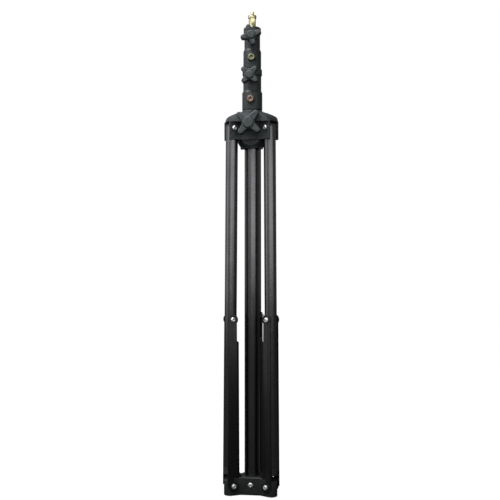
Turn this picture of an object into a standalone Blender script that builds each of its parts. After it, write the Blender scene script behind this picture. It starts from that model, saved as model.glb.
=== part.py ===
"""Folding light stand with two risers, modelled folded and standing on its hub.

Metres, +Z up. The origin is the centre of the hub's underside, on the column's axis.
The front, where the lock knobs point, is -Y.
"""

import bpy
import bmesh
from math import asin, cos, degrees, hypot, pi, radians, sin, sqrt, tan
from mathutils import Matrix

MM = 0.001

# Gaps
GAP = 0.3 * MM              # between pieces that touch or turn
COLLAR_GAP = 0.5 * MM       # between parts that stop against each other

# Tubes, from the inside out
RISER_2_RADIUS = 10.3 * MM
RISER_2_WALL = 1.2 * MM
RISER_2_PLAY = 1.0 * MM     # room between riser 2 and the bore of riser 1
RISER_1_WALL = 1.2 * MM
RISER_1_PLAY = 0.75 * MM    # room between riser 1 and the bore of the column
COLUMN_WALL = 1.5 * MM
RISER_1_RADIUS = RISER_2_RADIUS + RISER_2_PLAY + RISER_1_WALL
COLUMN_RADIUS = RISER_1_RADIUS + RISER_1_PLAY + COLUMN_WALL

# Linkage of the legs: places of its pivots in the folded stand
HUB_PIVOT_RADIUS = 42.4 * MM
HUB_PIVOT_Z = 18.0 * MM
KNEE_OUT = 1.8 * MM                  # the knees stand this far outside the hub pivots
KNEE_RADIUS = HUB_PIVOT_RADIUS + KNEE_OUT
KNEE_Z = 331.9 * MM
SPIDER_PIVOT_IN = 0.8 * MM            # and the spider pivots this far inside them
SPIDER_PIVOT_RADIUS = HUB_PIVOT_RADIUS - SPIDER_PIVOT_IN
SPIDER_PIVOT_Z = 693.0 * MM
LEG_LINK = hypot(KNEE_RADIUS - SPIDER_PIVOT_RADIUS, SPIDER_PIVOT_Z - KNEE_Z)
BRACE_LINK = hypot(KNEE_RADIUS - HUB_PIVOT_RADIUS, KNEE_Z - HUB_PIVOT_Z)
LEG_LEAN = asin((KNEE_RADIUS - SPIDER_PIVOT_RADIUS) / LEG_LINK)
BRACE_LEAN = asin((KNEE_RADIUS - HUB_PIVOT_RADIUS) / BRACE_LINK)
LEG_AZIMUTHS = {1: 210.0, 2: 330.0, 3: 90.0}
BOLT_SIDES = {1: 1, 2: -1, 3: 1}     # the side of each leg that the bolt heads are on

# Legs
LEG_RADIUS = 11.5 * MM
LEG_WALL = 1.2 * MM
LEG_TUBE_RISE = 4.0 * MM             # from the upper pivot up to the tube's end
PLUG_LENGTH = 22.0 * MM              # of what sits inside a tube
FOOT_LENGTH = 14.0 * MM
FOOT_ROUND = 2.5 * MM
SIDE_GAP = 0.35 * MM                 # between a leg and the cheeks or flanges beside it
HINGE_HALF = LEG_RADIUS + SIDE_GAP   # half the room between two cheeks or flanges

# Base hub
HUB_HEIGHT = 34.0 * MM
HUB_WALL = 9.25 * MM                 # from the column to the flats between the tongues
HUB_FLAT = COLUMN_RADIUS + HUB_WALL
TONGUE_END = 14.6 * MM               # from a hinge to its tongue's end
HUB_REACH = HUB_PIVOT_RADIUS + TONGUE_END
HUB_EDGE = 1.6 * MM
FOOT_RISE = 5.5 * MM                 # from the hub's top to the feet in the folded stand
TONGUE_SLOPE_START = HUB_PIVOT_RADIUS + 2.0 * MM
TONGUE_SLOPE_ANGLE = 27.0

# Braces
BRACE_SHEET = 1.6 * MM
BRACE_BEND = 7.0 * MM                # outer radius of the channel's two bends
BRACE_TOP_EDGE = 8.0 * MM            # flange edge outside the link line, at the knee
BRACE_LOW_EDGE = 12.5 * MM           # and at the hub
BRACE_EAR = 10.0 * MM
BRACE_FOOT_EAR = 10.4 * MM
BRACE_WIDTH = 2 * (HINGE_HALF + BRACE_SHEET)
EAR_SHEET = 0.9 * BRACE_SHEET        # the ears are pressed a little thinner than the sheet
BRACE_NOTCH = 42.5 * MM              # the web starts this far below the knee
BRACE_NOTCH_RAMP = 3.0 * MM
BRACE_FLANGE_SHARE = 0.575           # of the channel's depth, kept of each flange beside the notch
BRACE_LIP = 4.0 * MM                 # rolled lip at the web's lower end
BRACE_LIP_HEIGHT = 5.0 * MM

# Spider
CHEEK = 2.8 * MM
ARM_END = 10.3 * MM                   # from a leg's upper pivot to its arm's end
SPIDER_REACH = SPIDER_PIVOT_RADIUS + ARM_END
SPIDER_FLAT = COLUMN_RADIUS + 11.25 * MM
SKIRT_RADIUS = COLUMN_RADIUS + 12.9 * MM     # round body under the arms
SKIRT_FLAT = SPIDER_FLAT - 2.6 * MM
SKIRT_DROP = 33.0 * MM
SKIRT_TAPER = 8.0 * MM               # height of the cone at the skirt's lower end
SKIRT_CONE = 5.0 * MM                # by which its radius shrinks there
CHEEK_DROP = 21.5 * MM               # from the upper pivot to the cheeks' lower edge
ROOF_RISE = 13.0 * MM                # from the upper pivot to the underside of the cap
CAP_RISE = 37.0 * MM                 # from the upper pivot to the neck's top
RING_DROP = 36.0 * MM                # from the upper pivot to the guide ring's lower end
SPIDER_WALL = 3.6 * MM
CAP_PROFILE = [(0.04, 0.07), (0.17, 0.12), (0.42, 0.19), (0.66, 0.28), (0.83, 0.36),
               (0.92, 0.43), (0.975, 0.53), (1.01, 0.66)]   # shares of the slope and of CAP_RISE
LUG_RADIUS = 4.6 * MM

# Bushes and studs
BUSH_WALL = 1.0 * MM
SPIDER_BUSH_WALL = 1.4 * MM
BUSH_FLANGE = 1.2 * MM
STUD_RADIUS = 4.0 * MM

# Collars
COLLAR_GRIP = 34.6 * MM
COLLAR_GUIDE = 42.9 * MM
COLLAR_WALL = 4.2 * MM
COLLAR_GUIDE_WALL = 3.1 * MM
COLLAR_BAND = 1.5 * MM
COLLAR_BAND_HEIGHT = 11.0 * MM
COLLAR_CHAMFER = 1.9 * MM
COLUMN_KNOB_DROP = 15.5 * MM         # from a collar's top to its knob's axis
RISER_1_KNOB_DROP = 20.0 * MM
COLLAR_SCREW_RISE = 18.7 * MM        # from a collar's lower end to its screw's axis
BOSS_RADIUS = 7.5 * MM
COLUMN_COLLAR_TURN = -0.5            # degrees; the collars are clamped a little askew
RISER_1_COLLAR_TURN = 3.5

# Knobs
SMALL_KNOB_REACH = 20.0 * MM
SMALL_KNOB_CORE = 10.5 * MM
SMALL_KNOB_FINGER = 4.7 * MM
SMALL_KNOB_THICK = 13.0 * MM
SMALL_CAP_RADIUS = 8.0 * MM
SMALL_KNOB_OUT = 26.5 * MM           # from the column's axis to the back of the knob
LARGE_KNOB_REACH = 27.5 * MM
LARGE_KNOB_CORE = 12.5 * MM
LARGE_KNOB_FINGER = 5.4 * MM
LARGE_KNOB_THICK = 15.5 * MM
LARGE_CAP_RADIUS = 10.6 * MM
LARGE_KNOB_OUT = 42.0 * MM
SPIDER_KNOB_RISE = 7.5 * MM          # from the leg pivots to the knob's axis
KNOB_ROUND = 2.2 * MM
KNOB_CAP_HEIGHT = 2.2 * MM
KNOB_LOBES = 4
KNOB_TURNS = {1: 17.0, 2: 47.0, 3: 50.0}

# Fasteners
BOLT_RADIUS = 3.0 * MM
BOLT_HEAD_RADIUS = 5.2 * MM
BOLT_HEAD_HEIGHT = 3.2 * MM
NUT_RADIUS = 5.6 * MM
NUT_HEIGHT = 4.0 * MM
SOCKET_RADIUS = 2.3 * MM
CAP_SCREW_RADIUS = 6.5 * MM
CAP_SCREW_HEIGHT = 7.0 * MM
CAP_SCREW_SHANK = 4.0 * MM
CAP_SCREW_SOCKET = 3.5 * MM
HUB_SCREW_RISE = 19.5 * MM

# Spigot
SPIGOT_RADIUS = 8.0 * MM
SPIGOT_HEAD_HEIGHT = 6.5 * MM
SPIGOT_WAIST = 7.0 * MM              # corner radius of its hexagonal waist
SPIGOT_WAIST_HEIGHT = 15.5 * MM
SPIGOT_TIP_RADIUS = 3.2 * MM
SPIGOT_TIP_HEIGHT = 7.5 * MM
SPIGOT_FLANGE = 1.6 * MM
SPIGOT_SHANK = 34.0 * MM
SPIGOT_TURN = 52.0                   # degrees that the waist's front flat is turned

# Heights that follow
END_PLUG_FLANGE = 2.0 * MM
COLUMN_LOW = END_PLUG_FLANGE + GAP
SPIDER_TOP = SPIDER_PIVOT_Z + CAP_RISE
COLUMN_COLLAR_LOW = SPIDER_TOP + COLLAR_GAP
COLUMN_TOP = COLUMN_COLLAR_LOW + COLLAR_GRIP - GAP
COLUMN_COLLAR_TOP = COLUMN_COLLAR_LOW + COLLAR_GRIP + COLLAR_GUIDE
RISER_1_COLLAR_LOW = COLUMN_COLLAR_TOP + BUSH_FLANGE + COLLAR_GAP
RISER_1_TOP = RISER_1_COLLAR_LOW + COLLAR_GRIP - GAP
RISER_1_COLLAR_TOP = RISER_1_COLLAR_LOW + COLLAR_GRIP + COLLAR_GUIDE
RISER_2_TOP = RISER_1_COLLAR_TOP + BUSH_FLANGE
RISER_1_LOW = 38.0 * MM
GUIDE_FLANGE = 8.0 * MM
RISER_2_LOW = RISER_1_LOW + PLUG_LENGTH + GUIDE_FLANGE + 4.0 * MM
LEG_END = SPIDER_PIVOT_Z - HUB_HEIGHT - FOOT_RISE    # from the upper pivot to the sole

# Facets
ROUND = 32
SMALL_ROUND = 12

# Colour, roughness and metallic value of each finish
FINISHES = {
    "anodised": ((0.022, 0.022, 0.024, 1.0), 0.36, 0.6),
    "casting": ((0.055, 0.062, 0.064, 1.0), 0.52, 0.2),
    "plastic": ((0.045, 0.050, 0.052, 1.0), 0.48, 0.0),
    "bush": ((0.020, 0.020, 0.021, 1.0), 0.55, 0.0),
    "zinc": ((0.62, 0.63, 0.64, 1.0), 0.28, 1.0),
    "yellow_zinc": ((0.60, 0.55, 0.32, 1.0), 0.34, 1.0),
    "red_zinc": ((0.58, 0.42, 0.30, 1.0), 0.34, 1.0),
    "brass": ((0.72, 0.62, 0.30, 1.0), 0.25, 1.0),
    "rubber": ((0.014, 0.014, 0.014, 1.0), 0.80, 0.0),
}


def new_collection(name):
    group = bpy.data.collections.new(name)
    bpy.context.scene.collection.children.link(group)
    return group


for leftover in list(bpy.data.objects):
    bpy.data.objects.remove(leftover, do_unlink=True)

STAND = new_collection("light_stand")


def add_object(name, data):
    piece = bpy.data.objects.new(name, data)
    STAND.objects.link(piece)
    return piece


def settle(piece):
    """Give a piece its evaluated mesh and drop its modifiers."""
    bpy.context.view_layer.update()
    depsgraph = bpy.context.evaluated_depsgraph_get()
    mesh = bpy.data.meshes.new_from_object(piece.evaluated_get(depsgraph))
    piece.modifiers.clear()
    piece.data = mesh
    return piece


def move(piece, matrix):
    """Move a piece's mesh and leave its origin where it is."""
    piece.data.transform(matrix)
    if matrix.determinant() < 0:
        piece.data.flip_normals()
    piece.data.update()
    return piece


def shift(piece, x=0.0, y=0.0, z=0.0):
    return move(piece, Matrix.Translation((x, y, z)))


def turn(piece, degrees, axis):
    return move(piece, Matrix.Rotation(radians(degrees), 4, axis))


def from_bmesh(name, shape):
    mesh = bpy.data.meshes.new(name)
    shape.to_mesh(mesh)
    shape.free()
    return add_object(name, mesh)


def cylinder(name, radius, low, high, segments=SMALL_ROUND):
    """A solid cylinder along Z from low to high."""
    shape = bmesh.new()
    bmesh.ops.create_cone(shape, cap_ends=True, segments=segments, radius1=radius,
                          radius2=radius, depth=high - low)
    return shift(from_bmesh(name, shape), z=(low + high) / 2)


def box(name, low, high):
    shape = bmesh.new()
    bmesh.ops.create_cube(shape, size=1.0)
    middle = [(a + b) / 2 for a, b in zip(low, high)]
    sides = [b - a for a, b in zip(low, high)]
    placing = Matrix.Translation(middle) @ Matrix.Diagonal((*sides, 1.0))
    return move(from_bmesh(name, shape), placing)


def turned(name, profile, steps=ROUND):
    """Turn a profile of (radius, height) points, outer side from top to bottom, about Z."""
    count = len(profile)
    edges = [(i, i + 1) for i in range(count - 1)]
    if profile[0][0] > 0:
        edges.append((count - 1, 0))
    mesh = bpy.data.meshes.new(name)
    mesh.from_pydata([(radius, 0, height) for radius, height in profile], edges, [])
    piece = add_object(name, mesh)
    screw = piece.modifiers.new("turn", "SCREW")
    screw.axis = "Z"
    screw.angle = 2 * pi
    screw.steps = steps
    screw.render_steps = steps
    screw.use_merge_vertices = True
    screw.merge_threshold = 0.01 * MM
    return settle(piece)


def sleeve(name, outer, inner, low, high, steps=ROUND):
    return turned(name, [(outer, high), (outer, low), (inner, low), (inner, high)], steps)


def plate(name, outline, low, high, edge=0.0, edge_steps=0):
    """Fill a flat outline and give it thickness from low to high, with bevelled rims."""
    curve = bpy.data.curves.new(name, "CURVE")
    curve.dimensions = "2D"
    curve.fill_mode = "BOTH"
    curve.extrude = (high - low) / 2 - edge
    curve.bevel_depth = edge
    curve.bevel_resolution = edge_steps
    curve.offset = -edge
    spline = curve.splines.new("POLY")
    spline.points.add(len(outline) - 1)
    for point, (x, y) in zip(spline.points, outline):
        point.co = (x, y, 0, 1)
    spline.use_cyclic_u = True
    flat = add_object(name + "_outline", curve)
    bpy.context.view_layer.update()
    depsgraph = bpy.context.evaluated_depsgraph_get()
    mesh = bpy.data.meshes.new_from_object(flat.evaluated_get(depsgraph))
    bpy.data.objects.remove(flat, do_unlink=True)
    bpy.data.curves.remove(curve)
    shape = bmesh.new()
    shape.from_mesh(mesh)
    bmesh.ops.remove_doubles(shape, verts=shape.verts, dist=0.01 * MM)
    bmesh.ops.recalc_face_normals(shape, faces=shape.faces)
    shape.to_mesh(mesh)
    shape.free()
    return shift(add_object(name, mesh), z=(low + high) / 2)


def combine(piece, others, operation):
    """Apply a Boolean with each of the other pieces, which are used up."""
    for other in others:
        modifier = piece.modifiers.new(operation.lower(), "BOOLEAN")
        modifier.operation = operation
        modifier.solver = "EXACT"
        modifier.object = other
        settle(piece)
        bpy.data.objects.remove(other, do_unlink=True)
    return piece


def join(piece, *others):
    return combine(piece, others, "UNION")


def cut(piece, *others):
    return combine(piece, others, "DIFFERENCE")


def common(piece, *others):
    return combine(piece, others, "INTERSECT")


def hinge_hole(radius, reach, x=0.0, z=0.0):
    """A cutter along Y, through both cheeks of a hinge."""
    hole = turn(cylinder("hole", radius, -reach, reach), 90, "X")
    return shift(hole, x=x, z=z)


def front_hole(radius, near, far, z, segments=SMALL_ROUND):
    """A cylinder that points to the front, from near to far off the column's axis."""
    return shift(turn(cylinder("hole", radius, near, far, segments), 90, "X"), z=z)


def arc(centre, radius, start, end, steps):
    """Points of an arc, in degrees, both ends included."""
    angles = [radians(start + (end - start) * i / steps) for i in range(steps + 1)]
    return [(centre[0] + radius * cos(a), centre[1] + radius * sin(a)) for a in angles]


def finish(piece, kind, parent=None):
    """Give a piece its own material, smooth shading and the empty that carries it."""
    colour, roughness, metallic = FINISHES[kind]
    material = bpy.data.materials.new(piece.name + "_" + kind)
    material.use_nodes = True
    shader = material.node_tree.nodes["Principled BSDF"]
    shader.inputs["Base Color"].default_value = colour
    shader.inputs["Roughness"].default_value = roughness
    shader.inputs["Metallic"].default_value = metallic
    piece.data.materials.clear()
    piece.data.materials.append(material)
    piece.data.shade_smooth()
    piece.data.set_sharp_from_angle(angle=radians(35))
    piece.parent = parent
    return piece


def carrier(name, matrix, parent=None):
    """An empty on the axis of a joint, which carries the pieces that move there."""
    empty = add_object(name, None)
    empty.empty_display_size = 20 * MM
    empty.parent = parent
    empty.matrix_world = matrix
    bpy.context.view_layer.update()
    return empty


def front_frame(z, turn_degrees, out):
    """A frame on a knob's axis: local Z points forwards, local Y up."""
    facing = Matrix.Rotation(radians(turn_degrees), 4, "Z")
    return facing @ Matrix.Translation((0, -out, z)) @ Matrix.Rotation(radians(90), 4, "X")


def leg_frame(number):
    """The upper pivot of a leg: local X points outwards, local Z up along the leg."""
    spin = Matrix.Rotation(radians(LEG_AZIMUTHS[number]), 4, "Z")
    place = Matrix.Translation((SPIDER_PIVOT_RADIUS, 0, SPIDER_PIVOT_Z))
    return spin @ place @ Matrix.Rotation(-LEG_LEAN, 4, "Y")


def brace_frame(number):
    """The hub pivot of a brace: local X points outwards, local Z up towards the knee."""
    spin = Matrix.Rotation(radians(LEG_AZIMUTHS[number]), 4, "Z")
    place = Matrix.Translation((HUB_PIVOT_RADIUS, 0, HUB_PIVOT_Z))
    return spin @ place @ Matrix.Rotation(BRACE_LEAN, 4, "Y")


def hex_socket(radius, low, high):
    return cylinder("socket", radius, low, high, 6)


def button_bolt(name, head_low, tip):
    """A round headed bolt along Z: its head stands on head_low, its tip is at tip."""
    top = head_low + BOLT_HEAD_HEIGHT
    profile = [(0, top), (0.62 * BOLT_HEAD_RADIUS, top), (0.9 * BOLT_HEAD_RADIUS, top - 0.9 * MM),
               (BOLT_HEAD_RADIUS, head_low + 1.0 * MM), (BOLT_HEAD_RADIUS, head_low),
               (BOLT_RADIUS, head_low), (BOLT_RADIUS, tip), (0, tip)]
    bolt = turned(name, profile, SMALL_ROUND)
    return cut(bolt, hex_socket(SOCKET_RADIUS, top - 1.8 * MM, top + MM))


def lock_nut(name, low, high, bore):
    """A hexagon nut along Z with its bore."""
    nut = cylinder(name, NUT_RADIUS, low, high, 6)
    return cut(nut, cylinder("bore", bore, low - MM, high + MM))


def cap_screw(name, shank_tip, head_low, head_radius, head_height, shank, socket):
    """A socket cap screw along Z with a chamfered head."""
    top = head_low + head_height
    profile = [(0, top), (head_radius - 0.6 * MM, top), (head_radius, top - 0.6 * MM),
               (head_radius, head_low), (shank, head_low), (shank, shank_tip), (0, shank_tip)]
    screw = turned(name, profile, SMALL_ROUND)
    return cut(screw, hex_socket(socket, top - 0.5 * head_height, top + MM))


# Column, hub and what is fixed to them

COLUMN_BORE = COLUMN_RADIUS - COLUMN_WALL


def column_tube():
    tube = sleeve("column_tube", COLUMN_RADIUS, COLUMN_BORE, COLUMN_LOW, COLUMN_TOP)
    return finish(tube, "anodised")


def column_end_plug():
    inner = COLUMN_BORE - GAP
    top = COLUMN_LOW + PLUG_LENGTH
    profile = [(0, top), (inner, top), (inner, END_PLUG_FLANGE),
               (COLUMN_RADIUS, END_PLUG_FLANGE), (COLUMN_RADIUS, 0), (0, 0)]
    return finish(turned("column_end_plug", profile), "bush")


def three_arm_outline(flat, half_width, reach, round_ends):
    """Plan of a body with an arm at each leg and a flat between each two arms."""
    side = (flat - half_width * sin(radians(60))) / cos(radians(60))
    outline = []
    for azimuth in sorted(LEG_AZIMUTHS.values()):
        if round_ends:
            end = arc((reach - half_width, 0), half_width, -90, 90, 10)
        else:
            end = [(reach, -half_width), (reach, half_width)]
        points = [(side, -half_width)] + end + [(side, half_width)]
        if side > reach - MM:
            points = end
        spin = radians(azimuth)
        for x, y in points:
            outline.append((x * cos(spin) - y * sin(spin), x * sin(spin) + y * cos(spin)))
    return outline


def base_hub():
    outline = three_arm_outline(HUB_FLAT, LEG_RADIUS, HUB_REACH, True)
    hub = plate("base_hub", outline, 0, HUB_HEIGHT, HUB_EDGE)
    cut(hub, cylinder("bore", COLUMN_RADIUS + GAP, -MM, HUB_HEIGHT + MM, ROUND))
    for azimuth in LEG_AZIMUTHS.values():
        hole = hinge_hole(BOLT_RADIUS + GAP, 2 * LEG_RADIUS, HUB_PIVOT_RADIUS, HUB_PIVOT_Z)
        slope = box("slope", (0, -2 * LEG_RADIUS, 0), (HUB_REACH, 2 * LEG_RADIUS, HUB_HEIGHT))
        turn(slope, TONGUE_SLOPE_ANGLE, "Y")
        shift(slope, x=TONGUE_SLOPE_START, z=HUB_HEIGHT)
        cut(hub, turn(hole, azimuth, "Z"), turn(slope, azimuth, "Z"))
    cut(hub, front_hole(BOLT_RADIUS + GAP, COLUMN_RADIUS, HUB_REACH, HUB_SCREW_RISE))
    return finish(hub, "casting")


def hub_clamp_screw():
    screw = button_bolt("hub_clamp_screw", HUB_FLAT + GAP, COLUMN_RADIUS + GAP)
    shift(turn(screw, 90, "X"), z=HUB_SCREW_RISE)
    return finish(screw, "zinc")


def hinge_bolts(stem, cheek_outside, x, z, parent=None):
    """Bolts through the three hinges of the hub or the spider, and their nuts."""
    seat = cheek_outside + GAP
    for number, azimuth in LEG_AZIMUTHS.items():
        bolt = button_bolt("%s_bolt_%d" % (stem, number), seat, -(seat + NUT_HEIGHT + MM))
        nut = lock_nut("%s_nut_%d" % (stem, number), -(seat + NUT_HEIGHT), -seat,
                       BOLT_RADIUS + GAP)
        for piece in (bolt, nut):
            turn(piece, -90 * BOLT_SIDES[number], "X")
            shift(piece, x=x, z=z)
            turn(piece, azimuth, "Z")
            finish(piece, "zinc", parent)
            piece.matrix_world = Matrix.Identity(4)


def lock_collar(name, low, tube_radius, riser_radius, knob_drop, turn_degrees, parent=None):
    """A casting that grips a tube below and guides the riser inside it above."""
    grip_bore = tube_radius + GAP
    guide_bore = riser_radius + GAP + BUSH_WALL + GAP
    grip = grip_bore + COLLAR_WALL
    guide = guide_bore + COLLAR_GUIDE_WALL
    step = low + COLLAR_GRIP
    top = step + COLLAR_GUIDE
    band_low = top - COLLAR_BAND_HEIGHT
    profile = [(0, top), (guide + COLLAR_BAND - 0.8 * MM, top),
               (guide + COLLAR_BAND, top - 0.8 * MM), (guide + COLLAR_BAND, band_low),
               (guide, band_low - COLLAR_BAND), (guide, step + COLLAR_CHAMFER),
               (grip, step - COLLAR_CHAMFER), (grip, low + 0.6 * MM), (grip - 0.6 * MM, low),
               (0, low)]
    collar = turned(name, profile)
    knob_z = top - knob_drop
    screw_z = low + COLLAR_SCREW_RISE
    boss = front_hole(BOSS_RADIUS, riser_radius + COLLAR_GUIDE_WALL, SMALL_KNOB_OUT - GAP,
                      knob_z, 20)
    spot = front_hole(CAP_SCREW_RADIUS + MM, tube_radius + COLLAR_WALL / 2, grip + MM, screw_z, 20)
    join(collar, boss, spot)
    cut(collar, front_hole(STUD_RADIUS + GAP, 0, 2 * SMALL_KNOB_OUT, knob_z))
    cut(collar, front_hole(CAP_SCREW_SHANK + GAP, 0, 2 * SMALL_KNOB_OUT, screw_z))
    cut(collar, turned("bore", [(0, top + MM), (guide_bore, top + MM), (guide_bore, step),
                                (grip_bore, step), (grip_bore, low - MM), (0, low - MM)]))
    turn(collar, turn_degrees, "Z")
    return finish(collar, "casting", parent)


def collar_bush(name, low, riser_radius, knob_drop, turn_degrees, parent=None):
    """The flanged plastic bush in a collar's guide barrel, with a hole for the knob's stud."""
    inner = riser_radius + GAP
    outer = inner + BUSH_WALL
    step = low + COLLAR_GRIP
    top = step + COLLAR_GUIDE
    flange = outer + COLLAR_GUIDE_WALL
    profile = [(flange, top + BUSH_FLANGE), (flange, top + GAP), (outer, top + GAP),
               (outer, step + MM), (inner, step + MM), (inner, top + BUSH_FLANGE)]
    bush = turned(name, profile)
    cut(bush, front_hole(STUD_RADIUS + GAP, 0, 2 * flange, top - knob_drop))
    turn(bush, turn_degrees, "Z")
    return finish(bush, "bush", parent)


def collar_screw(name, low, tube_radius, turn_degrees, kind, parent=None):
    """The socket cap screw that fixes a collar on its tube."""
    grip = tube_radius + GAP + COLLAR_WALL
    screw = cap_screw(name, tube_radius + GAP, grip + MM + GAP, CAP_SCREW_RADIUS,
                      CAP_SCREW_HEIGHT, CAP_SCREW_SHANK, CAP_SCREW_SOCKET)
    shift(turn(screw, 90, "X"), z=low + COLLAR_SCREW_RISE)
    turn(screw, turn_degrees, "Z")
    return finish(screw, kind, parent)


# Knobs: local Z points forwards, and the knob's back is at the origin


def lobed_outline(reach, core, finger):
    """Four fingers with round ends on a round core."""
    root = asin(finger / core)
    outline = []
    for lobe in range(KNOB_LOBES):
        angle = 2 * pi * lobe / KNOB_LOBES
        end = arc((reach - finger, 0), finger, -90, 90, 6)
        valley = arc((0, 0), core, root * 180 / pi + 8, 360 / KNOB_LOBES - root * 180 / pi - 8, 3)
        for x, y in end + valley:
            outline.append((x * cos(angle) - y * sin(angle), x * sin(angle) + y * cos(angle)))
    return outline


def knob(number, reach, core, finger, thick, cap_radius, out, riser_radius, parent):
    """A lobed knob, the cap on its face and its stud, which clamps the tube inside."""
    name = "knob_%d" % number
    depth = 0.72 * thick
    tip = riser_radius + GAP - out
    body = plate(name, lobed_outline(reach, core, finger), 0, thick, KNOB_ROUND, 1)
    cut(body, cylinder("blind_hole", STUD_RADIUS + GAP, -MM, depth + GAP))
    turn(body, KNOB_TURNS[number], "Z")
    low = thick + GAP
    high = low + KNOB_CAP_HEIGHT
    profile = [(0, high), (0.7 * cap_radius, high), (0.93 * cap_radius, high - 0.5 * MM),
               (cap_radius, high - 1.3 * MM), (cap_radius, low), (0, low)]
    cap = turned(name + "_cap", profile, 20)
    stud = turned(name + "_stud", [(0, depth), (STUD_RADIUS, depth), (STUD_RADIUS, tip + MM),
                                   (STUD_RADIUS - MM, tip), (0, tip)], SMALL_ROUND)
    finish(body, "plastic", parent)
    finish(cap, "plastic", parent)
    finish(stud, "zinc", parent)


# Risers


def guide_ring(name, tube_radius, wall, bore, low, parent):
    """A plug in a riser's lower end whose flange slides in the tube outside."""
    outer = bore - GAP
    inner = tube_radius - wall - GAP
    top = low + GUIDE_FLANGE + PLUG_LENGTH
    profile = [(0, top), (inner, top), (inner, low + GUIDE_FLANGE), (outer, low + GUIDE_FLANGE),
               (outer, low + 0.8 * MM), (outer - 0.8 * MM, low), (0, low)]
    return finish(turned(name, profile), "bush", parent)


def riser_tube(name, radius, wall, low, top, parent):
    tube = sleeve(name, radius, radius - wall, low + GUIDE_FLANGE + GAP, top)
    return finish(tube, "anodised", parent)


PIN_RADIUS = 1.5 * MM


def spigot(parent):
    """The brass spigot: shank in riser 2, flange, hexagonal waist, 16 mm head and tip."""
    base = RISER_2_TOP + GAP
    waist_low = base + SPIGOT_FLANGE
    head_low = waist_low + SPIGOT_WAIST_HEIGHT
    head_top = head_low + SPIGOT_HEAD_HEIGHT
    top = head_top + SPIGOT_TIP_HEIGHT
    shank = RISER_2_RADIUS - RISER_2_WALL - GAP
    lower = turned("spigot", [(0, waist_low), (RISER_2_RADIUS - 1.2 * MM, waist_low),
                              (RISER_2_RADIUS, waist_low - 0.8 * MM), (RISER_2_RADIUS, base),
                              (shank, base), (shank, RISER_2_TOP - SPIGOT_SHANK),
                              (0, RISER_2_TOP - SPIGOT_SHANK)])
    waist = cylinder("waist", SPIGOT_WAIST, waist_low - MM, head_low + MM, 6)
    turn(waist, SPIGOT_TURN, "Z")
    head = turned("head", [(0, top), (SPIGOT_TIP_RADIUS - 1.3 * MM, top),
                           (SPIGOT_TIP_RADIUS, top - 2.2 * MM), (SPIGOT_TIP_RADIUS, head_top),
                           (SPIGOT_RADIUS - MM, head_top), (SPIGOT_RADIUS, head_top - MM),
                           (SPIGOT_RADIUS, head_low + MM), (SPIGOT_RADIUS - MM, head_low),
                           (0, head_low)])
    join(lower, waist, head)
    pin_z = RISER_2_TOP - SPIGOT_SHANK / 2
    cut(lower, hinge_hole(PIN_RADIUS + GAP, 2 * RISER_2_RADIUS, 0, pin_z))
    return finish(lower, "brass", parent)


def spigot_pin(parent):
    """A cross pin through the spigot's shank, held between the walls of riser 2."""
    half = RISER_2_RADIUS - RISER_2_WALL - GAP
    pin = hinge_hole(PIN_RADIUS, half, 0, RISER_2_TOP - SPIGOT_SHANK / 2)
    pin.name = "spigot_pin"
    return finish(pin, "zinc", parent)


# Spider

SPIDER_BUSH_OUTER = COLUMN_RADIUS + GAP + SPIDER_BUSH_WALL
SPIDER_BORE = SPIDER_BUSH_OUTER + GAP
SPIDER_SLEEVE = SPIDER_BORE + SPIDER_WALL - 1.2 * MM
CHEEK_OUTSIDE = HINGE_HALF + CHEEK


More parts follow.
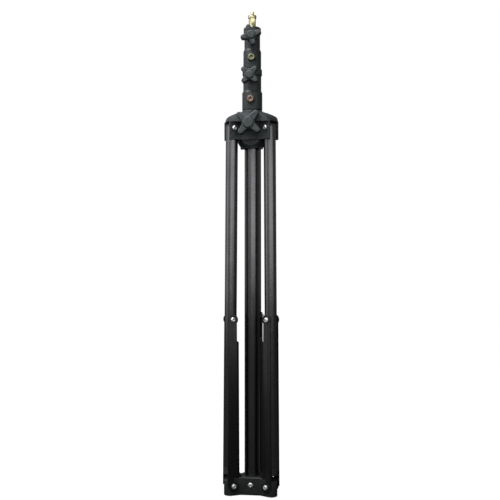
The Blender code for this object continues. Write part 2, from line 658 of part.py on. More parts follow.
def spider_casting(parent):
    """Cap with three arms, cheeks for the legs, guide ring and knob boss."""
    roof = SPIDER_PIVOT_Z + ROOF_RISE
    low = SPIDER_PIVOT_Z - CHEEK_DROP
    ring_low = SPIDER_PIVOT_Z - RING_DROP
    cap_flat = 0.5 * SPIDER_REACH + sqrt(0.75) * CHEEK_OUTSIDE
    cap = plate("spider_casting",
                three_arm_outline(cap_flat, CHEEK_OUTSIDE, SPIDER_REACH, False),
                roof - MM, SPIDER_TOP + MM)
    neck = SPIDER_SLEEVE
    slope = SPIDER_REACH - neck
    rim = [(neck + share * slope, SPIDER_TOP - drop * CAP_RISE) for share, drop in CAP_PROFILE]
    dome = turned("dome", [(0, SPIDER_TOP), (neck - MM, SPIDER_TOP), (neck, SPIDER_TOP - MM)]
                  + rim + [(neck + 1.6 * slope, low - MM), (0, low - MM)], 36)
    common(cap, dome)
    arms = plate("arms", three_arm_outline(SPIDER_FLAT, CHEEK_OUTSIDE,
                                           SPIDER_REACH - 0.4 * MM, False),
                 low, roof + 0.5 * MM, 0.8 * MM)
    lower = turned("lower", [(0, roof - MM), (neck + 1.5 * MM, roof - MM),
                             (neck + 1.5 * MM, ring_low), (0, ring_low)])
    skirt_low = SPIDER_PIVOT_Z - SKIRT_DROP
    skirt = turned("skirt", [(0, roof - 2 * MM), (SKIRT_RADIUS, roof - 2 * MM),
                             (SKIRT_RADIUS, skirt_low + SKIRT_TAPER),
                             (SKIRT_RADIUS - SKIRT_CONE, skirt_low), (0, skirt_low)])
    for azimuth in LEG_AZIMUTHS.values():
        flat = box("flat", (-2 * SKIRT_RADIUS, -2 * SKIRT_RADIUS, skirt_low - MM),
                   (2 * SKIRT_RADIUS, -SKIRT_FLAT, roof))
        cut(skirt, turn(flat, azimuth - 90, "Z"))
    boss = front_hole(BOSS_RADIUS, COLUMN_RADIUS, LARGE_KNOB_OUT - GAP,
                      SPIDER_PIVOT_Z + SPIDER_KNOB_RISE, 20)
    join(cap, arms, skirt, lower, boss)
    for azimuth in LEG_AZIMUTHS.values():
        lug = cylinder("lug", LUG_RADIUS, ring_low - 2 * MM, ring_low + 9 * MM)
        join(cap, turn(shift(lug, x=neck), azimuth, "Z"))
    for azimuth in LEG_AZIMUTHS.values():
        inner = SPIDER_PIVOT_RADIUS - LEG_RADIUS - MM
        slot = box("slot", (inner, -HINGE_HALF, low - MM), (2 * SPIDER_REACH, HINGE_HALF, roof))
        hole = hinge_hole(BOLT_RADIUS + GAP, 2 * CHEEK_OUTSIDE, SPIDER_PIVOT_RADIUS,
                          SPIDER_PIVOT_Z)
        cut(cap, turn(slot, azimuth, "Z"), turn(hole, azimuth, "Z"))
    cut(cap, cylinder("bore", SPIDER_BORE, ring_low - 9 * MM, SPIDER_TOP + MM, ROUND))
    cut(cap, front_hole(STUD_RADIUS + GAP, 0, 2 * LARGE_KNOB_OUT,
                        SPIDER_PIVOT_Z + SPIDER_KNOB_RISE))
    return finish(cap, "casting", parent)


def spider_bush(parent):
    """The plastic guide in the spider's bore, with a hole for the knob's stud."""
    inner = COLUMN_RADIUS + GAP
    low = SPIDER_PIVOT_Z - RING_DROP
    top = SPIDER_TOP - MM
    bush = sleeve("spider_bush", SPIDER_BUSH_OUTER, inner, low, top)
    cut(bush, front_hole(STUD_RADIUS + GAP, 0, 2 * COLUMN_RADIUS,
                         SPIDER_PIVOT_Z + SPIDER_KNOB_RISE))
    return finish(bush, "bush", parent)


# Legs: local Z runs up along the leg, and its upper pivot is at the origin


def leg_meshes():
    """The four pieces of a leg, made once for the three legs."""
    inner = LEG_RADIUS - LEG_WALL
    tube_top = LEG_TUBE_RISE
    sole = -LEG_END
    tube = sleeve("tube", LEG_RADIUS, inner, sole + FOOT_LENGTH + GAP, tube_top - GAP, 24)
    cut(tube, hinge_hole(BOLT_RADIUS + MM + GAP, 2 * LEG_RADIUS, 0, -LEG_LINK),
        hinge_hole(BOLT_RADIUS + GAP, 2 * LEG_RADIUS))
    start = degrees(asin(tube_top / LEG_RADIUS))
    profile = arc((0, 0), LEG_RADIUS, start, 180 - start, 12)
    head = turn(plate("head", profile, -2 * LEG_RADIUS, 2 * LEG_RADIUS), 90, "X")
    common(head, cylinder("round", LEG_RADIUS, 0, 2 * LEG_RADIUS, 24))
    join(head, cylinder("plug", inner - GAP, tube_top - PLUG_LENGTH, tube_top + MM, 24))
    cut(head, hinge_hole(BOLT_RADIUS + GAP, 2 * LEG_RADIUS))
    foot_top = sole + FOOT_LENGTH
    foot = turned("foot", [(0, foot_top + PLUG_LENGTH), (inner - GAP, foot_top + PLUG_LENGTH),
                           (inner - GAP, foot_top), (LEG_RADIUS, foot_top),
                           (LEG_RADIUS, sole + FOOT_ROUND),
                           (LEG_RADIUS - 0.3 * FOOT_ROUND, sole + 0.3 * FOOT_ROUND),
                           (LEG_RADIUS - FOOT_ROUND, sole), (0, sole)], 24)
    bush = sleeve("bush", BOLT_RADIUS + MM, BOLT_RADIUS, -(LEG_RADIUS - GAP), LEG_RADIUS - GAP,
                  SMALL_ROUND)
    shift(turn(bush, 90, "X"), z=-LEG_LINK)
    return {"tube": (tube, "anodised"), "head": (head, "casting"), "foot": (foot, "rubber"),
            "knee_bush": (bush, "zinc")}


# Braces: local Z runs up to the knee, and the hub pivot is at the origin


def brace_depth():
    """From the brace's line to the web's inner face: past the leg wherever it runs."""
    leg = SPIDER_PIVOT_RADIUS + (SPIDER_PIVOT_Z - HUB_HEIGHT) * tan(LEG_LEAN)
    brace = HUB_PIVOT_RADIUS + (HUB_HEIGHT - HUB_PIVOT_Z) * tan(BRACE_LEAN)
    return HINGE_HALF + max(0.0, brace - leg)


def channel_section():
    """Half-round cornered channel, open outwards: points of its outer skin."""
    web = -(brace_depth() + BRACE_SHEET)
    side = HINGE_HALF + BRACE_SHEET
    corner = (web + BRACE_BEND, side - BRACE_BEND)
    upper = [(1.6 * side, side)] + arc(corner, BRACE_BEND, 90, 180, 5)
    lower = [(x, -y) for x, y in reversed(upper)]
    return upper + lower


def brace_channel():
    """The channel, its side profile, the ears at both pivots and the notch at the knee."""
    outline = channel_section()
    shape = bmesh.new()
    low = -BRACE_FOOT_EAR
    high = BRACE_LINK + BRACE_EAR
    rows = [[shape.verts.new((x, y, z)) for x, y in outline] for z in (low, high)]
    for index in range(len(outline) - 1):
        shape.faces.new((rows[0][index], rows[0][index + 1], rows[1][index + 1], rows[1][index]))
    bmesh.ops.recalc_face_normals(shape, faces=shape.faces)
    channel = from_bmesh("channel", shape)
    sheet = channel.modifiers.new("sheet", "SOLIDIFY")
    sheet.thickness = BRACE_SHEET
    sheet.use_even_offset = True
    sheet.offset = -1.0 if channel.data.polygons[0].normal.y > 0 else 1.0
    settle(channel)
    web = brace_depth() + BRACE_SHEET
    web_low = HUB_HEIGHT + COLLAR_GAP - HUB_PIVOT_Z
    web_top = BRACE_LINK - BRACE_NOTCH
    flange = BRACE_FLANGE_SHARE * web
    profile = [(-2 * web, web_low), (0, web_low), (0, 0), (BRACE_LOW_EDGE, 0),
               (BRACE_TOP_EDGE, BRACE_LINK), (-flange, BRACE_LINK),
               (-flange, web_top + BRACE_NOTCH_RAMP), (-0.8 * web, web_top), (-2 * web, web_top)]
    common(channel, turn(plate("profile", profile, -2 * web, 2 * web), 90, "X"))
    for side in (1, -1):
        for z, radius in ((0, BRACE_FOOT_EAR), (BRACE_LINK, BRACE_EAR)):
            middle = HINGE_HALF + BRACE_SHEET / 2
            ear = cylinder("ear", radius, middle - EAR_SHEET / 2, middle + EAR_SHEET / 2, 24)
            join(channel, shift(turn(ear, 90 * side, "X"), z=z))
    lip_low = web_low + GAP
    lip = box("lip", (-web - BRACE_LIP, -0.5 * BRACE_WIDTH + BRACE_BEND / 2, lip_low),
              (-web + 0.7 * BRACE_SHEET, 0.5 * BRACE_WIDTH - BRACE_BEND / 2,
               lip_low + BRACE_LIP_HEIGHT))
    join(channel, lip)
    reach = BRACE_WIDTH
    cut(channel, hinge_hole(BOLT_RADIUS + GAP, reach), hinge_hole(BOLT_RADIUS + GAP, reach, 0,
                                                                  BRACE_LINK))
    return channel


def knee_bolt():
    """The bolt's head with the stub that fills the flange, along +Z."""
    return button_bolt("knee_bolt", HINGE_HALF + BRACE_SHEET + GAP, HINGE_HALF)


def knee_nut():
    """The nut on the other flange with the bolt's end in it, along -Z."""
    seat = HINGE_HALF + BRACE_SHEET + GAP
    nut = cylinder("knee_nut", NUT_RADIUS, -(seat + NUT_HEIGHT), -seat, 6)
    return join(nut, cylinder("end", BOLT_RADIUS, -(seat + NUT_HEIGHT + MM), -HINGE_HALF))


def build_root():
    column_tube()
    column_end_plug()
    base_hub()
    hub_clamp_screw()
    hinge_bolts("hub", HINGE_HALF + BRACE_SHEET, HUB_PIVOT_RADIUS, HUB_PIVOT_Z)
    lock_collar("column_collar", COLUMN_COLLAR_LOW, COLUMN_RADIUS, RISER_1_RADIUS,
                COLUMN_KNOB_DROP, COLUMN_COLLAR_TURN)
    collar_bush("column_collar_bush", COLUMN_COLLAR_LOW, RISER_1_RADIUS, COLUMN_KNOB_DROP,
                COLUMN_COLLAR_TURN)
    collar_screw("column_collar_screw", COLUMN_COLLAR_LOW, COLUMN_RADIUS, COLUMN_COLLAR_TURN,
                 "red_zinc")


def small_knob(number, z, turn_degrees, riser_radius, parent):
    frame = carrier("knob_%d_axis" % number, front_frame(z, turn_degrees, SMALL_KNOB_OUT), parent)
    knob(number, SMALL_KNOB_REACH, SMALL_KNOB_CORE, SMALL_KNOB_FINGER, SMALL_KNOB_THICK,
         SMALL_CAP_RADIUS, SMALL_KNOB_OUT, riser_radius, frame)


def build_risers():
    riser_1 = carrier("riser_1", Matrix.Translation((0, 0, RISER_1_LOW)))
    riser_2 = carrier("riser_2", Matrix.Translation((0, 0, RISER_2_LOW)), riser_1)
    pieces = [
        riser_tube("riser_1_tube", RISER_1_RADIUS, RISER_1_WALL, RISER_1_LOW, RISER_1_TOP,
                   riser_1),
        guide_ring("riser_1_guide", RISER_1_RADIUS, RISER_1_WALL, COLUMN_BORE, RISER_1_LOW,
                   riser_1),
        lock_collar("riser_1_collar", RISER_1_COLLAR_LOW, RISER_1_RADIUS, RISER_2_RADIUS,
                    RISER_1_KNOB_DROP, RISER_1_COLLAR_TURN, riser_1),
        collar_bush("riser_1_collar_bush", RISER_1_COLLAR_LOW, RISER_2_RADIUS,
                    RISER_1_KNOB_DROP, RISER_1_COLLAR_TURN, riser_1),
        collar_screw("riser_1_collar_screw", RISER_1_COLLAR_LOW, RISER_1_RADIUS,
                     RISER_1_COLLAR_TURN, "yellow_zinc", riser_1),
        riser_tube("riser_2_tube", RISER_2_RADIUS, RISER_2_WALL, RISER_2_LOW, RISER_2_TOP,
                   riser_2),
        guide_ring("riser_2_guide", RISER_2_RADIUS, RISER_2_WALL,
                   RISER_1_RADIUS - RISER_1_WALL, RISER_2_LOW, riser_2),
        spigot(riser_2),
        spigot_pin(riser_2),
    ]
    for piece in pieces:
        piece.matrix_world = Matrix.Identity(4)
    small_knob(1, RISER_1_COLLAR_TOP - RISER_1_KNOB_DROP, RISER_1_COLLAR_TURN, RISER_2_RADIUS,
               riser_1)
    small_knob(2, COLUMN_COLLAR_TOP - COLUMN_KNOB_DROP, COLUMN_COLLAR_TURN, RISER_1_RADIUS, None)


def build_spider():
    spider = carrier("spider", Matrix.Translation((0, 0, SPIDER_PIVOT_Z)))
    hinge_bolts("leg", CHEEK_OUTSIDE, SPIDER_PIVOT_RADIUS, SPIDER_PIVOT_Z, spider)
    for piece in (spider_casting(spider), spider_bush(spider)):
        piece.matrix_world = Matrix.Identity(4)
    frame = carrier("knob_3_axis", front_frame(SPIDER_PIVOT_Z + SPIDER_KNOB_RISE, 0,
                                               LARGE_KNOB_OUT), spider)
    knob(3, LARGE_KNOB_REACH, LARGE_KNOB_CORE, LARGE_KNOB_FINGER, LARGE_KNOB_THICK,
         LARGE_CAP_RADIUS, LARGE_KNOB_OUT, COLUMN_RADIUS, frame)
    return spider


def build_legs(spider):
    patterns = leg_meshes()
    for number in LEG_AZIMUTHS:
        leg = carrier("leg_%d" % number, leg_frame(number), spider)
        for piece_name, (pattern, kind) in patterns.items():
            copy = add_object("leg_%d_%s" % (number, piece_name), pattern.data.copy())
            finish(copy, kind, leg)
    for pattern, _ in patterns.values():
        bpy.data.objects.remove(pattern, do_unlink=True)


def build_braces():
    channel = brace_channel()
    bolt = knee_bolt()
    nut = knee_nut()
    for number, side in BOLT_SIDES.items():
        brace = carrier("brace_%d" % number, brace_frame(number))
        for pattern, piece_name, kind in ((channel, "channel", "anodised"),
                                          (bolt, "knee_bolt", "zinc"), (nut, "knee_nut", "zinc")):
            copy = add_object("brace_%d_%s" % (number, piece_name), pattern.data.copy())
            if pattern is not channel:
                shift(turn(copy, -90 * side, "X"), z=BRACE_LINK)
            finish(copy, kind, brace)
    for pattern in (channel, bolt, nut):
        bpy.data.objects.remove(pattern, do_unlink=True)


build_root()
build_risers()
build_legs(build_spider())
build_braces()
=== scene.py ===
# %% [markdown]
# # A folded light stand
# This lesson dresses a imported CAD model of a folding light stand: a black three-section mast, three
# round legs folded against it, three channel braces, die cast collars with lobed lock knobs, and a
# brass spigot. The CAD pieces fix every size and every joint. Here each piece gets the roundings
# and the surface finish that the real one shows, and stays exactly where the CAD model has it.

import bpy
import bmesh
from math import asin, cos, degrees, hypot, pi, radians, sin, sqrt, tan
from mathutils import Matrix, Vector


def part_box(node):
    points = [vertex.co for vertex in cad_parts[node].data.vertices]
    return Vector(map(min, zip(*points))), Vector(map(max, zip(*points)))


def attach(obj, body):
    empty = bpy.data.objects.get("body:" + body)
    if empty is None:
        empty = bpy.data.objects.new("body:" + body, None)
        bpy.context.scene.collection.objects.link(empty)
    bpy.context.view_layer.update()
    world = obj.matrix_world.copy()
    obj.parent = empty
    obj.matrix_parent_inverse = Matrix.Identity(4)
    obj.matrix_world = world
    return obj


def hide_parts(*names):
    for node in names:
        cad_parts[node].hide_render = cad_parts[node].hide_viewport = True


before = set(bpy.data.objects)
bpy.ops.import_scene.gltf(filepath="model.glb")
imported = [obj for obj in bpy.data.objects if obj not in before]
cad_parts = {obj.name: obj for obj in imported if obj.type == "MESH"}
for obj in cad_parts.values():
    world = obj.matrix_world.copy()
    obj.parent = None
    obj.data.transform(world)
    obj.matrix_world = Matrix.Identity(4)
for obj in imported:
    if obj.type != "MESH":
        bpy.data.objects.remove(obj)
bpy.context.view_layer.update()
MM = 0.001

# %% [markdown]
# ## Small tools
# A turned piece is a profile of (radius, height) points. Real edges are never sharp, so `rounded`
# replaces each corner of a profile by a short arc before the Screw modifier turns it. A profile
# that runs down its outer side, from top to bottom, comes out with its faces pointing outwards.

# %% Rounded profiles and turned pieces
SHOP = bpy.data.collections.new("stand")
bpy.context.scene.collection.children.link(SHOP)


def add_object(name, data):
    piece = bpy.data.objects.new(name, data)
    SHOP.objects.link(piece)
    return piece


def settle(piece):
    """Give a piece its evaluated mesh and drop its modifiers."""
    bpy.context.view_layer.update()
    depsgraph = bpy.context.evaluated_depsgraph_get()
    mesh = bpy.data.meshes.new_from_object(piece.evaluated_get(depsgraph))
    piece.modifiers.clear()
    piece.data = mesh
    return piece


def rounded(profile, radius, steps=3):
    """Replace the inner corners of an open profile by arcs of up to the given radius."""
    result = [Vector(profile[0])]
    for before, corner, after in zip(profile, profile[1:], profile[2:]):
        corner = Vector(corner)
        to_before = Vector(before) - corner
        to_after = Vector(after) - corner
        opening = to_before.angle(to_after, pi)
        if opening > radians(176):
            result.append(corner)
            continue
        cut_back = min(radius / tan(opening / 2), 0.45 * to_before.length, 0.45 * to_after.length)
        start = corner + to_before.normalized() * cut_back
        end = corner + to_after.normalized() * cut_back
        for step in range(steps + 1):
            share = step / steps
            result.append(start.lerp(corner, share).lerp(corner.lerp(end, share), share))
    result.append(Vector(profile[-1]))
    return [tuple(point) for point in result]


def turned(name, profile, radius=0.4 * MM, steps=72, rounding=3):
    """Turn a profile about Z. A profile that starts off the axis is closed into a ring."""
    ring = profile[0][0] > 0
    if radius > 0:
        if ring:
            profile = rounded(profile[-1:] + profile + profile[:1], radius, rounding)[1:-1]
        else:
            profile = rounded(profile, radius, rounding)
    count = len(profile)
    edges = [(i, i + 1) for i in range(count - 1)]
    if ring:
        edges.append((count - 1, 0))
    mesh = bpy.data.meshes.new(name)
    mesh.from_pydata([(point[0], 0, point[1]) for point in profile], edges, [])
    piece = add_object(name, mesh)
    screw = piece.modifiers.new("turn", "SCREW")
    screw.axis = "Z"
    screw.angle = 2 * pi
    screw.steps = steps
    screw.render_steps = steps
    screw.use_merge_vertices = True
    screw.merge_threshold = 0.001 * MM
    return settle(piece)


def tube_profile(outer, inner, low, high):
    return [(outer, high), (outer, low), (inner, low), (inner, high)]


print("tools for turned pieces are ready")

# %% [markdown]
# Castings and bent sheet are built by adding and cutting simple solids. The Boolean leaves hard
# edges, and a Bevel that only takes the sharp ones then gives them the small radius of a casting or
# a tumbled part.

# %% Plates, cuts and soft edges


def move(piece, matrix):
    piece.data.transform(matrix)
    piece.data.update()
    return piece


def shift(piece, x=0.0, y=0.0, z=0.0):
    return move(piece, Matrix.Translation((x, y, z)))


def turn(piece, angle, axis):
    return move(piece, Matrix.Rotation(radians(angle), 4, axis))


def from_bmesh(name, shape):
    mesh = bpy.data.meshes.new(name)
    shape.to_mesh(mesh)
    shape.free()
    return add_object(name, mesh)


def cylinder(name, radius, low, high, segments=48):
    shape = bmesh.new()
    bmesh.ops.create_cone(shape, cap_ends=True, segments=segments, radius1=radius,
                          radius2=radius, depth=high - low)
    return shift(from_bmesh(name, shape), z=(low + high) / 2)


def box(name, low, high):
    shape = bmesh.new()
    bmesh.ops.create_cube(shape, size=1.0)
    middle = [(a + b) / 2 for a, b in zip(low, high)]
    sides = [b - a for a, b in zip(low, high)]
    return move(from_bmesh(name, shape), Matrix.Translation(middle) @ Matrix.Diagonal((*sides, 1)))


def plate(name, outline, low, high, edge=0.0, rounding=3):
    """A flat outline with thickness and rounded rims."""
    curve = bpy.data.curves.new(name, "CURVE")
    curve.dimensions = "2D"
    curve.fill_mode = "BOTH"
    curve.extrude = (high - low) / 2 - edge
    curve.bevel_depth = edge
    curve.bevel_resolution = rounding
    curve.offset = -edge
    spline = curve.splines.new("POLY")
    spline.points.add(len(outline) - 1)
    for point, (x, y) in zip(spline.points, outline):
        point.co = (x, y, 0, 1)
    spline.use_cyclic_u = True
    flat = add_object(name + "_outline", curve)
    bpy.context.view_layer.update()
    depsgraph = bpy.context.evaluated_depsgraph_get()
    mesh = bpy.data.meshes.new_from_object(flat.evaluated_get(depsgraph))
    bpy.data.objects.remove(flat, do_unlink=True)
    bpy.data.curves.remove(curve)
    shape = bmesh.new()
    shape.from_mesh(mesh)
    bmesh.ops.remove_doubles(shape, verts=shape.verts, dist=0.002 * MM)
    bmesh.ops.recalc_face_normals(shape, faces=shape.faces)
    shape.to_mesh(mesh)
    shape.free()
    return shift(add_object(name, mesh), z=(low + high) / 2)


def combine(piece, others, operation):
    for other in others:
        modifier = piece.modifiers.new(operation.lower(), "BOOLEAN")
        modifier.operation = operation
        modifier.solver = "EXACT"
        modifier.object = other
        settle(piece)
        bpy.data.objects.remove(other, do_unlink=True)
    return piece


def join(piece, *others):
    return combine(piece, others, "UNION")


def cut(piece, *others):
    return combine(piece, others, "DIFFERENCE")


def common(piece, *others):
    return combine(piece, others, "INTERSECT")


def soften(piece, width, steps=2, angle=32):
    """Round the sharp edges that a Boolean leaves."""
    shape = bmesh.new()
    shape.from_mesh(piece.data)
    bmesh.ops.remove_doubles(shape, verts=shape.verts, dist=0.01 * MM)
    bmesh.ops.dissolve_limit(shape, angle_limit=radians(0.5), verts=shape.verts, edges=shape.edges)
    shape.to_mesh(piece.data)
    shape.free()
    bevel = piece.modifiers.new("edges", "BEVEL")
    bevel.width = width
    bevel.segments = steps
    bevel.limit_method = "ANGLE"
    bevel.angle_limit = radians(angle)
    bevel.use_clamp_overlap = True
    bevel.miter_outer = "MITER_ARC"
    return settle(piece)


def y_hole(radius, reach, x=0.0, z=0.0):
    return shift(turn(cylinder("hole", radius, -reach, reach), 90, "X"), x=x, z=z)


def front_hole(radius, near, far, z, segments=48):
    """A cylinder that points to the front, from near to far off the column's axis."""
    return shift(turn(cylinder("hole", radius, near, far, segments), 90, "X"), z=z)


def arc(centre, radius, start, end, steps):
    angles = [radians(start + (end - start) * i / steps) for i in range(steps + 1)]
    return [(centre[0] + radius * cos(a), centre[1] + radius * sin(a)) for a in angles]


def place(piece, body, material, slot_name, *nodes, smooth=38):
    """Finish a piece: shading, material, the body that it rides on and the nodes it stands for."""
    piece.data.materials.clear()
    piece.data.materials.append(material)
    piece.data.shade_smooth()
    piece.data.set_sharp_from_angle(angle=radians(smooth))
    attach(piece, body)
    if nodes:
        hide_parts(*nodes)
    return piece


print("tools for castings and sheet are ready")

# %% [markdown]
# ## Materials
# Every colour is written as an sRGB hex value and turned to linear light by one function.
# `add_node` adds a shader node, sets its values and links its inputs. Patterns read Object
# coordinates, which are metres here, so a scale of 1000 gives one cell a millimetre.

# %% Colour and node tools


def linear(hex_colour):
    """An sRGB hex colour as linear red, green, blue and alpha."""
    channels = [int(hex_colour[i:i + 2], 16) / 255 for i in (1, 3, 5)]
    return [c / 12.92 if c <= 0.04045 else ((c + 0.055) / 1.055) ** 2.4 for c in channels] + [1.0]


def add_node(tree, kind, values=None, links=None, **settings):
    """Add a node, set its attributes and socket values, and link sockets to its inputs."""
    node = tree.nodes.new(kind)
    for key, value in settings.items():
        setattr(node, key, value)
    for key, value in (values or {}).items():
        node.inputs[key].default_value = value
    for key, source in (links or {}).items():
        tree.links.new(source, node.inputs[key])
    return node


def new_material(name):
    material = bpy.data.materials.new(name)
    material.use_nodes = True
    tree = material.node_tree
    shader = tree.nodes["Principled BSDF"]
    place_node = add_node(tree, "ShaderNodeTexCoord")
    return material, tree, shader, place_node.outputs["Object"]


def stretched(tree, coordinates, scale):
    """Coordinates scaled by a different number along each axis."""
    mapping = add_node(tree, "ShaderNodeMapping", {"Scale": scale}, {"Vector": coordinates})
    return mapping.outputs["Vector"]


def colour_band(tree, factor, stops):
    """A colour ramp of (position, hex colour) stops."""
    ramp = add_node(tree, "ShaderNodeValToRGB", links={"Fac": factor})
    elements = ramp.color_ramp.elements
    while len(elements) < len(stops):
        elements.new(0.5)
    for element, (position, hex_colour) in zip(elements, stops):
        element.position = position
        element.color = linear(hex_colour)
    return ramp.outputs["Color"]


def value_band(tree, factor, low, high, low_in=0.3, high_in=0.7):
    band = add_node(tree, "ShaderNodeMapRange", {"From Min": low_in, "From Max": high_in,
                                                 "To Min": low, "To Max": high},
                    {"Value": factor})
    return band.outputs["Result"]


def dress(tree, shader, colour, rough, height, strength, depth_mm):
    """Link a colour, a roughness and a bump of the given depth to the shader."""
    bump = add_node(tree, "ShaderNodeBump", {"Strength": strength, "Distance": depth_mm * MM},
                    {"Height": height})
    tree.links.new(colour, shader.inputs["Base Color"])
    tree.links.new(rough, shader.inputs["Roughness"])
    tree.links.new(bump.outputs["Normal"], shader.inputs["Normal"])


print("white is", [round(c, 3) for c in linear("#ffffff")])

# %% [markdown]
# ## Black anodised aluminium
# The tubes are drawn aluminium with a satin black anodised skin. Drawing leaves fine lines along
# the tube, about two thirds of a millimetre apart. They blur reflections across the tube and leave
# them long and straight down it. The skin itself is dark and slightly uneven, and a metal's
# reflections keep its own grey.

# %% Satin black anodising on drawn tube


def anodised_black():
    material, tree, shader, place_at = new_material("black_anodised_aluminium")
    lines = add_node(tree, "ShaderNodeTexNoise", {"Scale": 1.0, "Detail": 3.0, "Roughness": 0.6},
                     {"Vector": stretched(tree, place_at, (1500, 1500, 12))})
    cloud = add_node(tree, "ShaderNodeTexNoise", {"Scale": 30.0, "Detail": 4.0},
                     {"Vector": place_at})
    colour = colour_band(tree, cloud.outputs["Fac"], [(0.30, "#6c6c6e"), (0.70, "#767678")])
    rough = value_band(tree, lines.outputs["Fac"], 0.25, 0.28)
    dress(tree, shader, colour, rough, lines.outputs["Fac"], 0.03, 0.01)
    shader.inputs["Metallic"].default_value = 1.0
    return material


ANODISED = anodised_black()
print("made", ANODISED.name)

# %% [markdown]
# ## Painted die casting
# The leg carrier and the two collars are die cast aluminium under a dark grey powder paint, the hub
# under the same paint made darker, which is painted shade for the weaker light at the stand's foot.
# The paint lies in a fine orange peel with bumps about 0.8 mm across, and it thins on sharp edges,
# where it looks a little paler. Geometry's Pointiness finds those edges.

# %% Dark grey powder paint on a casting


def cast_paint(name, dark, light, thin):
    material, tree, shader, place_at = new_material(name)
    peel = add_node(tree, "ShaderNodeTexNoise", {"Scale": 1250.0, "Detail": 2.0},
                    {"Vector": place_at})
    grain = add_node(tree, "ShaderNodeTexNoise", {"Scale": 60.0, "Detail": 5.0},
                     {"Vector": place_at})
    geometry = add_node(tree, "ShaderNodeNewGeometry")
    colour = colour_band(tree, grain.outputs["Fac"], [(0.30, dark), (0.70, light)])
    edge = value_band(tree, geometry.outputs["Pointiness"], 0.0, 0.35, 0.53, 0.60)
    worn = add_node(tree, "ShaderNodeMix", {"B": linear(thin)}, {"Factor": edge},
                    data_type="RGBA")
    tree.links.new(colour, worn.inputs["A"])
    rough = value_band(tree, peel.outputs["Fac"], 0.42, 0.50)
    dress(tree, shader, worn.outputs["Result"], rough, peel.outputs["Fac"], 0.2, 0.03)
    return material


CASTING = cast_paint("powder_painted_die_casting", "#272c2e", "#2d3234", "#4c5153")
# The hub's paint is the casting paint made darker: painted shade for the weaker light at the stand's
# foot.
HUB_PAINT_DARKENED_FOR_SHADE = cast_paint("hub_casting_paint_with_painted_shade", "#17191a", "#1c1e1f", "#34373a")
print("made", CASTING.name, HUB_PAINT_DARKENED_FOR_SHADE.name)

# %% [markdown]
# ## Moulded nylon, acetal and rubber
# The knobs are glass filled nylon from a mould with a spark eroded face: a fine dull grain about
# half a millimetre wide. The bushes and plugs are smooth black acetal. The feet are matte rubber.

# %% Plastics


def moulded(name, dark, light, grain_mm, depth_mm, rough_low, rough_high):
    material, tree, shader, place_at = new_material(name)
    grain = add_node(tree, "ShaderNodeTexNoise", {"Scale": 1000.0 / grain_mm, "Detail": 3.0},
                     {"Vector": place_at})
    cloud = add_node(tree, "ShaderNodeTexNoise", {"Scale": 80.0, "Detail": 3.0},
                     {"Vector": place_at})
    colour = colour_band(tree, cloud.outputs["Fac"], [(0.30, dark), (0.70, light)])
    rough = value_band(tree, grain.outputs["Fac"], rough_low, rough_high)
    dress(tree, shader, colour, rough, grain.outputs["Fac"], 0.4, depth_mm)
    shader.inputs["IOR"].default_value = 1.5
    return material


NYLON = moulded("moulded_nylon", "#2f3638", "#363d3f", 0.5, 0.02, 0.46, 0.56)
ACETAL = moulded("black_acetal", "#1c1c1d", "#232324", 1.2, 0.01, 0.32, 0.42)
RUBBER = moulded("moulded_rubber", "#161616", "#1f1f1f", 0.7, 0.05, 0.68, 0.85)
print("made", NYLON.name, ACETAL.name, RUBBER.name)

# %% [markdown]
# ## Plated steel and brass
# Bolts and nuts are bright zinc. The two collar screws have a yellow and a reddish chromate over
# the zinc. The spigot is turned brass, whose tool leaves rings about a quarter of a millimetre
# apart round its axis.

# %% Metals


def plated(name, dark, light, rough_low, rough_high):
    material, tree, shader, place_at = new_material(name)
    cloud = add_node(tree, "ShaderNodeTexNoise", {"Scale": 300.0, "Detail": 4.0},
                     {"Vector": place_at})
    speckle = add_node(tree, "ShaderNodeTexNoise", {"Scale": 2500.0, "Detail": 1.0},
                       {"Vector": place_at})
    colour = colour_band(tree, cloud.outputs["Fac"], [(0.32, dark), (0.68, light)])
    rough = value_band(tree, cloud.outputs["Fac"], rough_low, rough_high)
    dress(tree, shader, colour, rough, speckle.outputs["Fac"], 0.15, 0.02)
    shader.inputs["Metallic"].default_value = 1.0
    return material


def turned_brass():
    material, tree, shader, place_at = new_material("turned_brass")
    rings = add_node(tree, "ShaderNodeTexNoise", {"Scale": 1.0, "Detail": 2.0},
                     {"Vector": stretched(tree, place_at, (20, 20, 4000))})
    cloud = add_node(tree, "ShaderNodeTexNoise", {"Scale": 150.0, "Detail": 4.0},
                     {"Vector": place_at})
    colour = colour_band(tree, cloud.outputs["Fac"], [(0.30, "#e8e2b0"), (0.70, "#f0ebbe")])
    rough = value_band(tree, rings.outputs["Fac"], 0.20, 0.32)
    dress(tree, shader, colour, rough, rings.outputs["Fac"], 0.2, 0.02)
    shader.inputs["Metallic"].default_value = 1.0
    return material


ZINC = plated("bright_zinc_plated_steel", "#cfd0d2", "#e2e3e4", 0.36, 0.46)
YELLOW_ZINC = plated("yellow_zinc_plated_steel", "#7b7a5e", "#8a8970", 0.40, 0.50)
RED_ZINC = plated("reddish_zinc_plated_steel", "#7c6a60", "#8b796f", 0.40, 0.50)
BRASS = turned_brass()
print("made", ZINC.name, YELLOW_ZINC.name, RED_ZINC.name, BRASS.name)

# %% [markdown]
# ## Painted braces
# The braces are folded sheet steel with a thin satin black paint. It is smoother than the castings'
# paint, with shallow waves about 2 mm long.

# %% Satin paint on sheet


def sheet_paint():
    material, tree, shader, place_at = new_material("satin_black_paint_on_sheet")
    waves = add_node(tree, "ShaderNodeTexNoise", {"Scale": 500.0, "Detail": 2.0},
                     {"Vector": place_at})
    cloud = add_node(tree, "ShaderNodeTexNoise", {"Scale": 25.0, "Detail": 4.0},
                     {"Vector": place_at})
    colour = colour_band(tree, cloud.outputs["Fac"], [(0.30, "#151517"), (0.70, "#1b1b1d")])
    rough = value_band(tree, waves.outputs["Fac"], 0.30, 0.38)
    dress(tree, shader, colour, rough, waves.outputs["Fac"], 0.2, 0.03)
    shader.inputs["Metallic"].default_value = 0.3
    return material


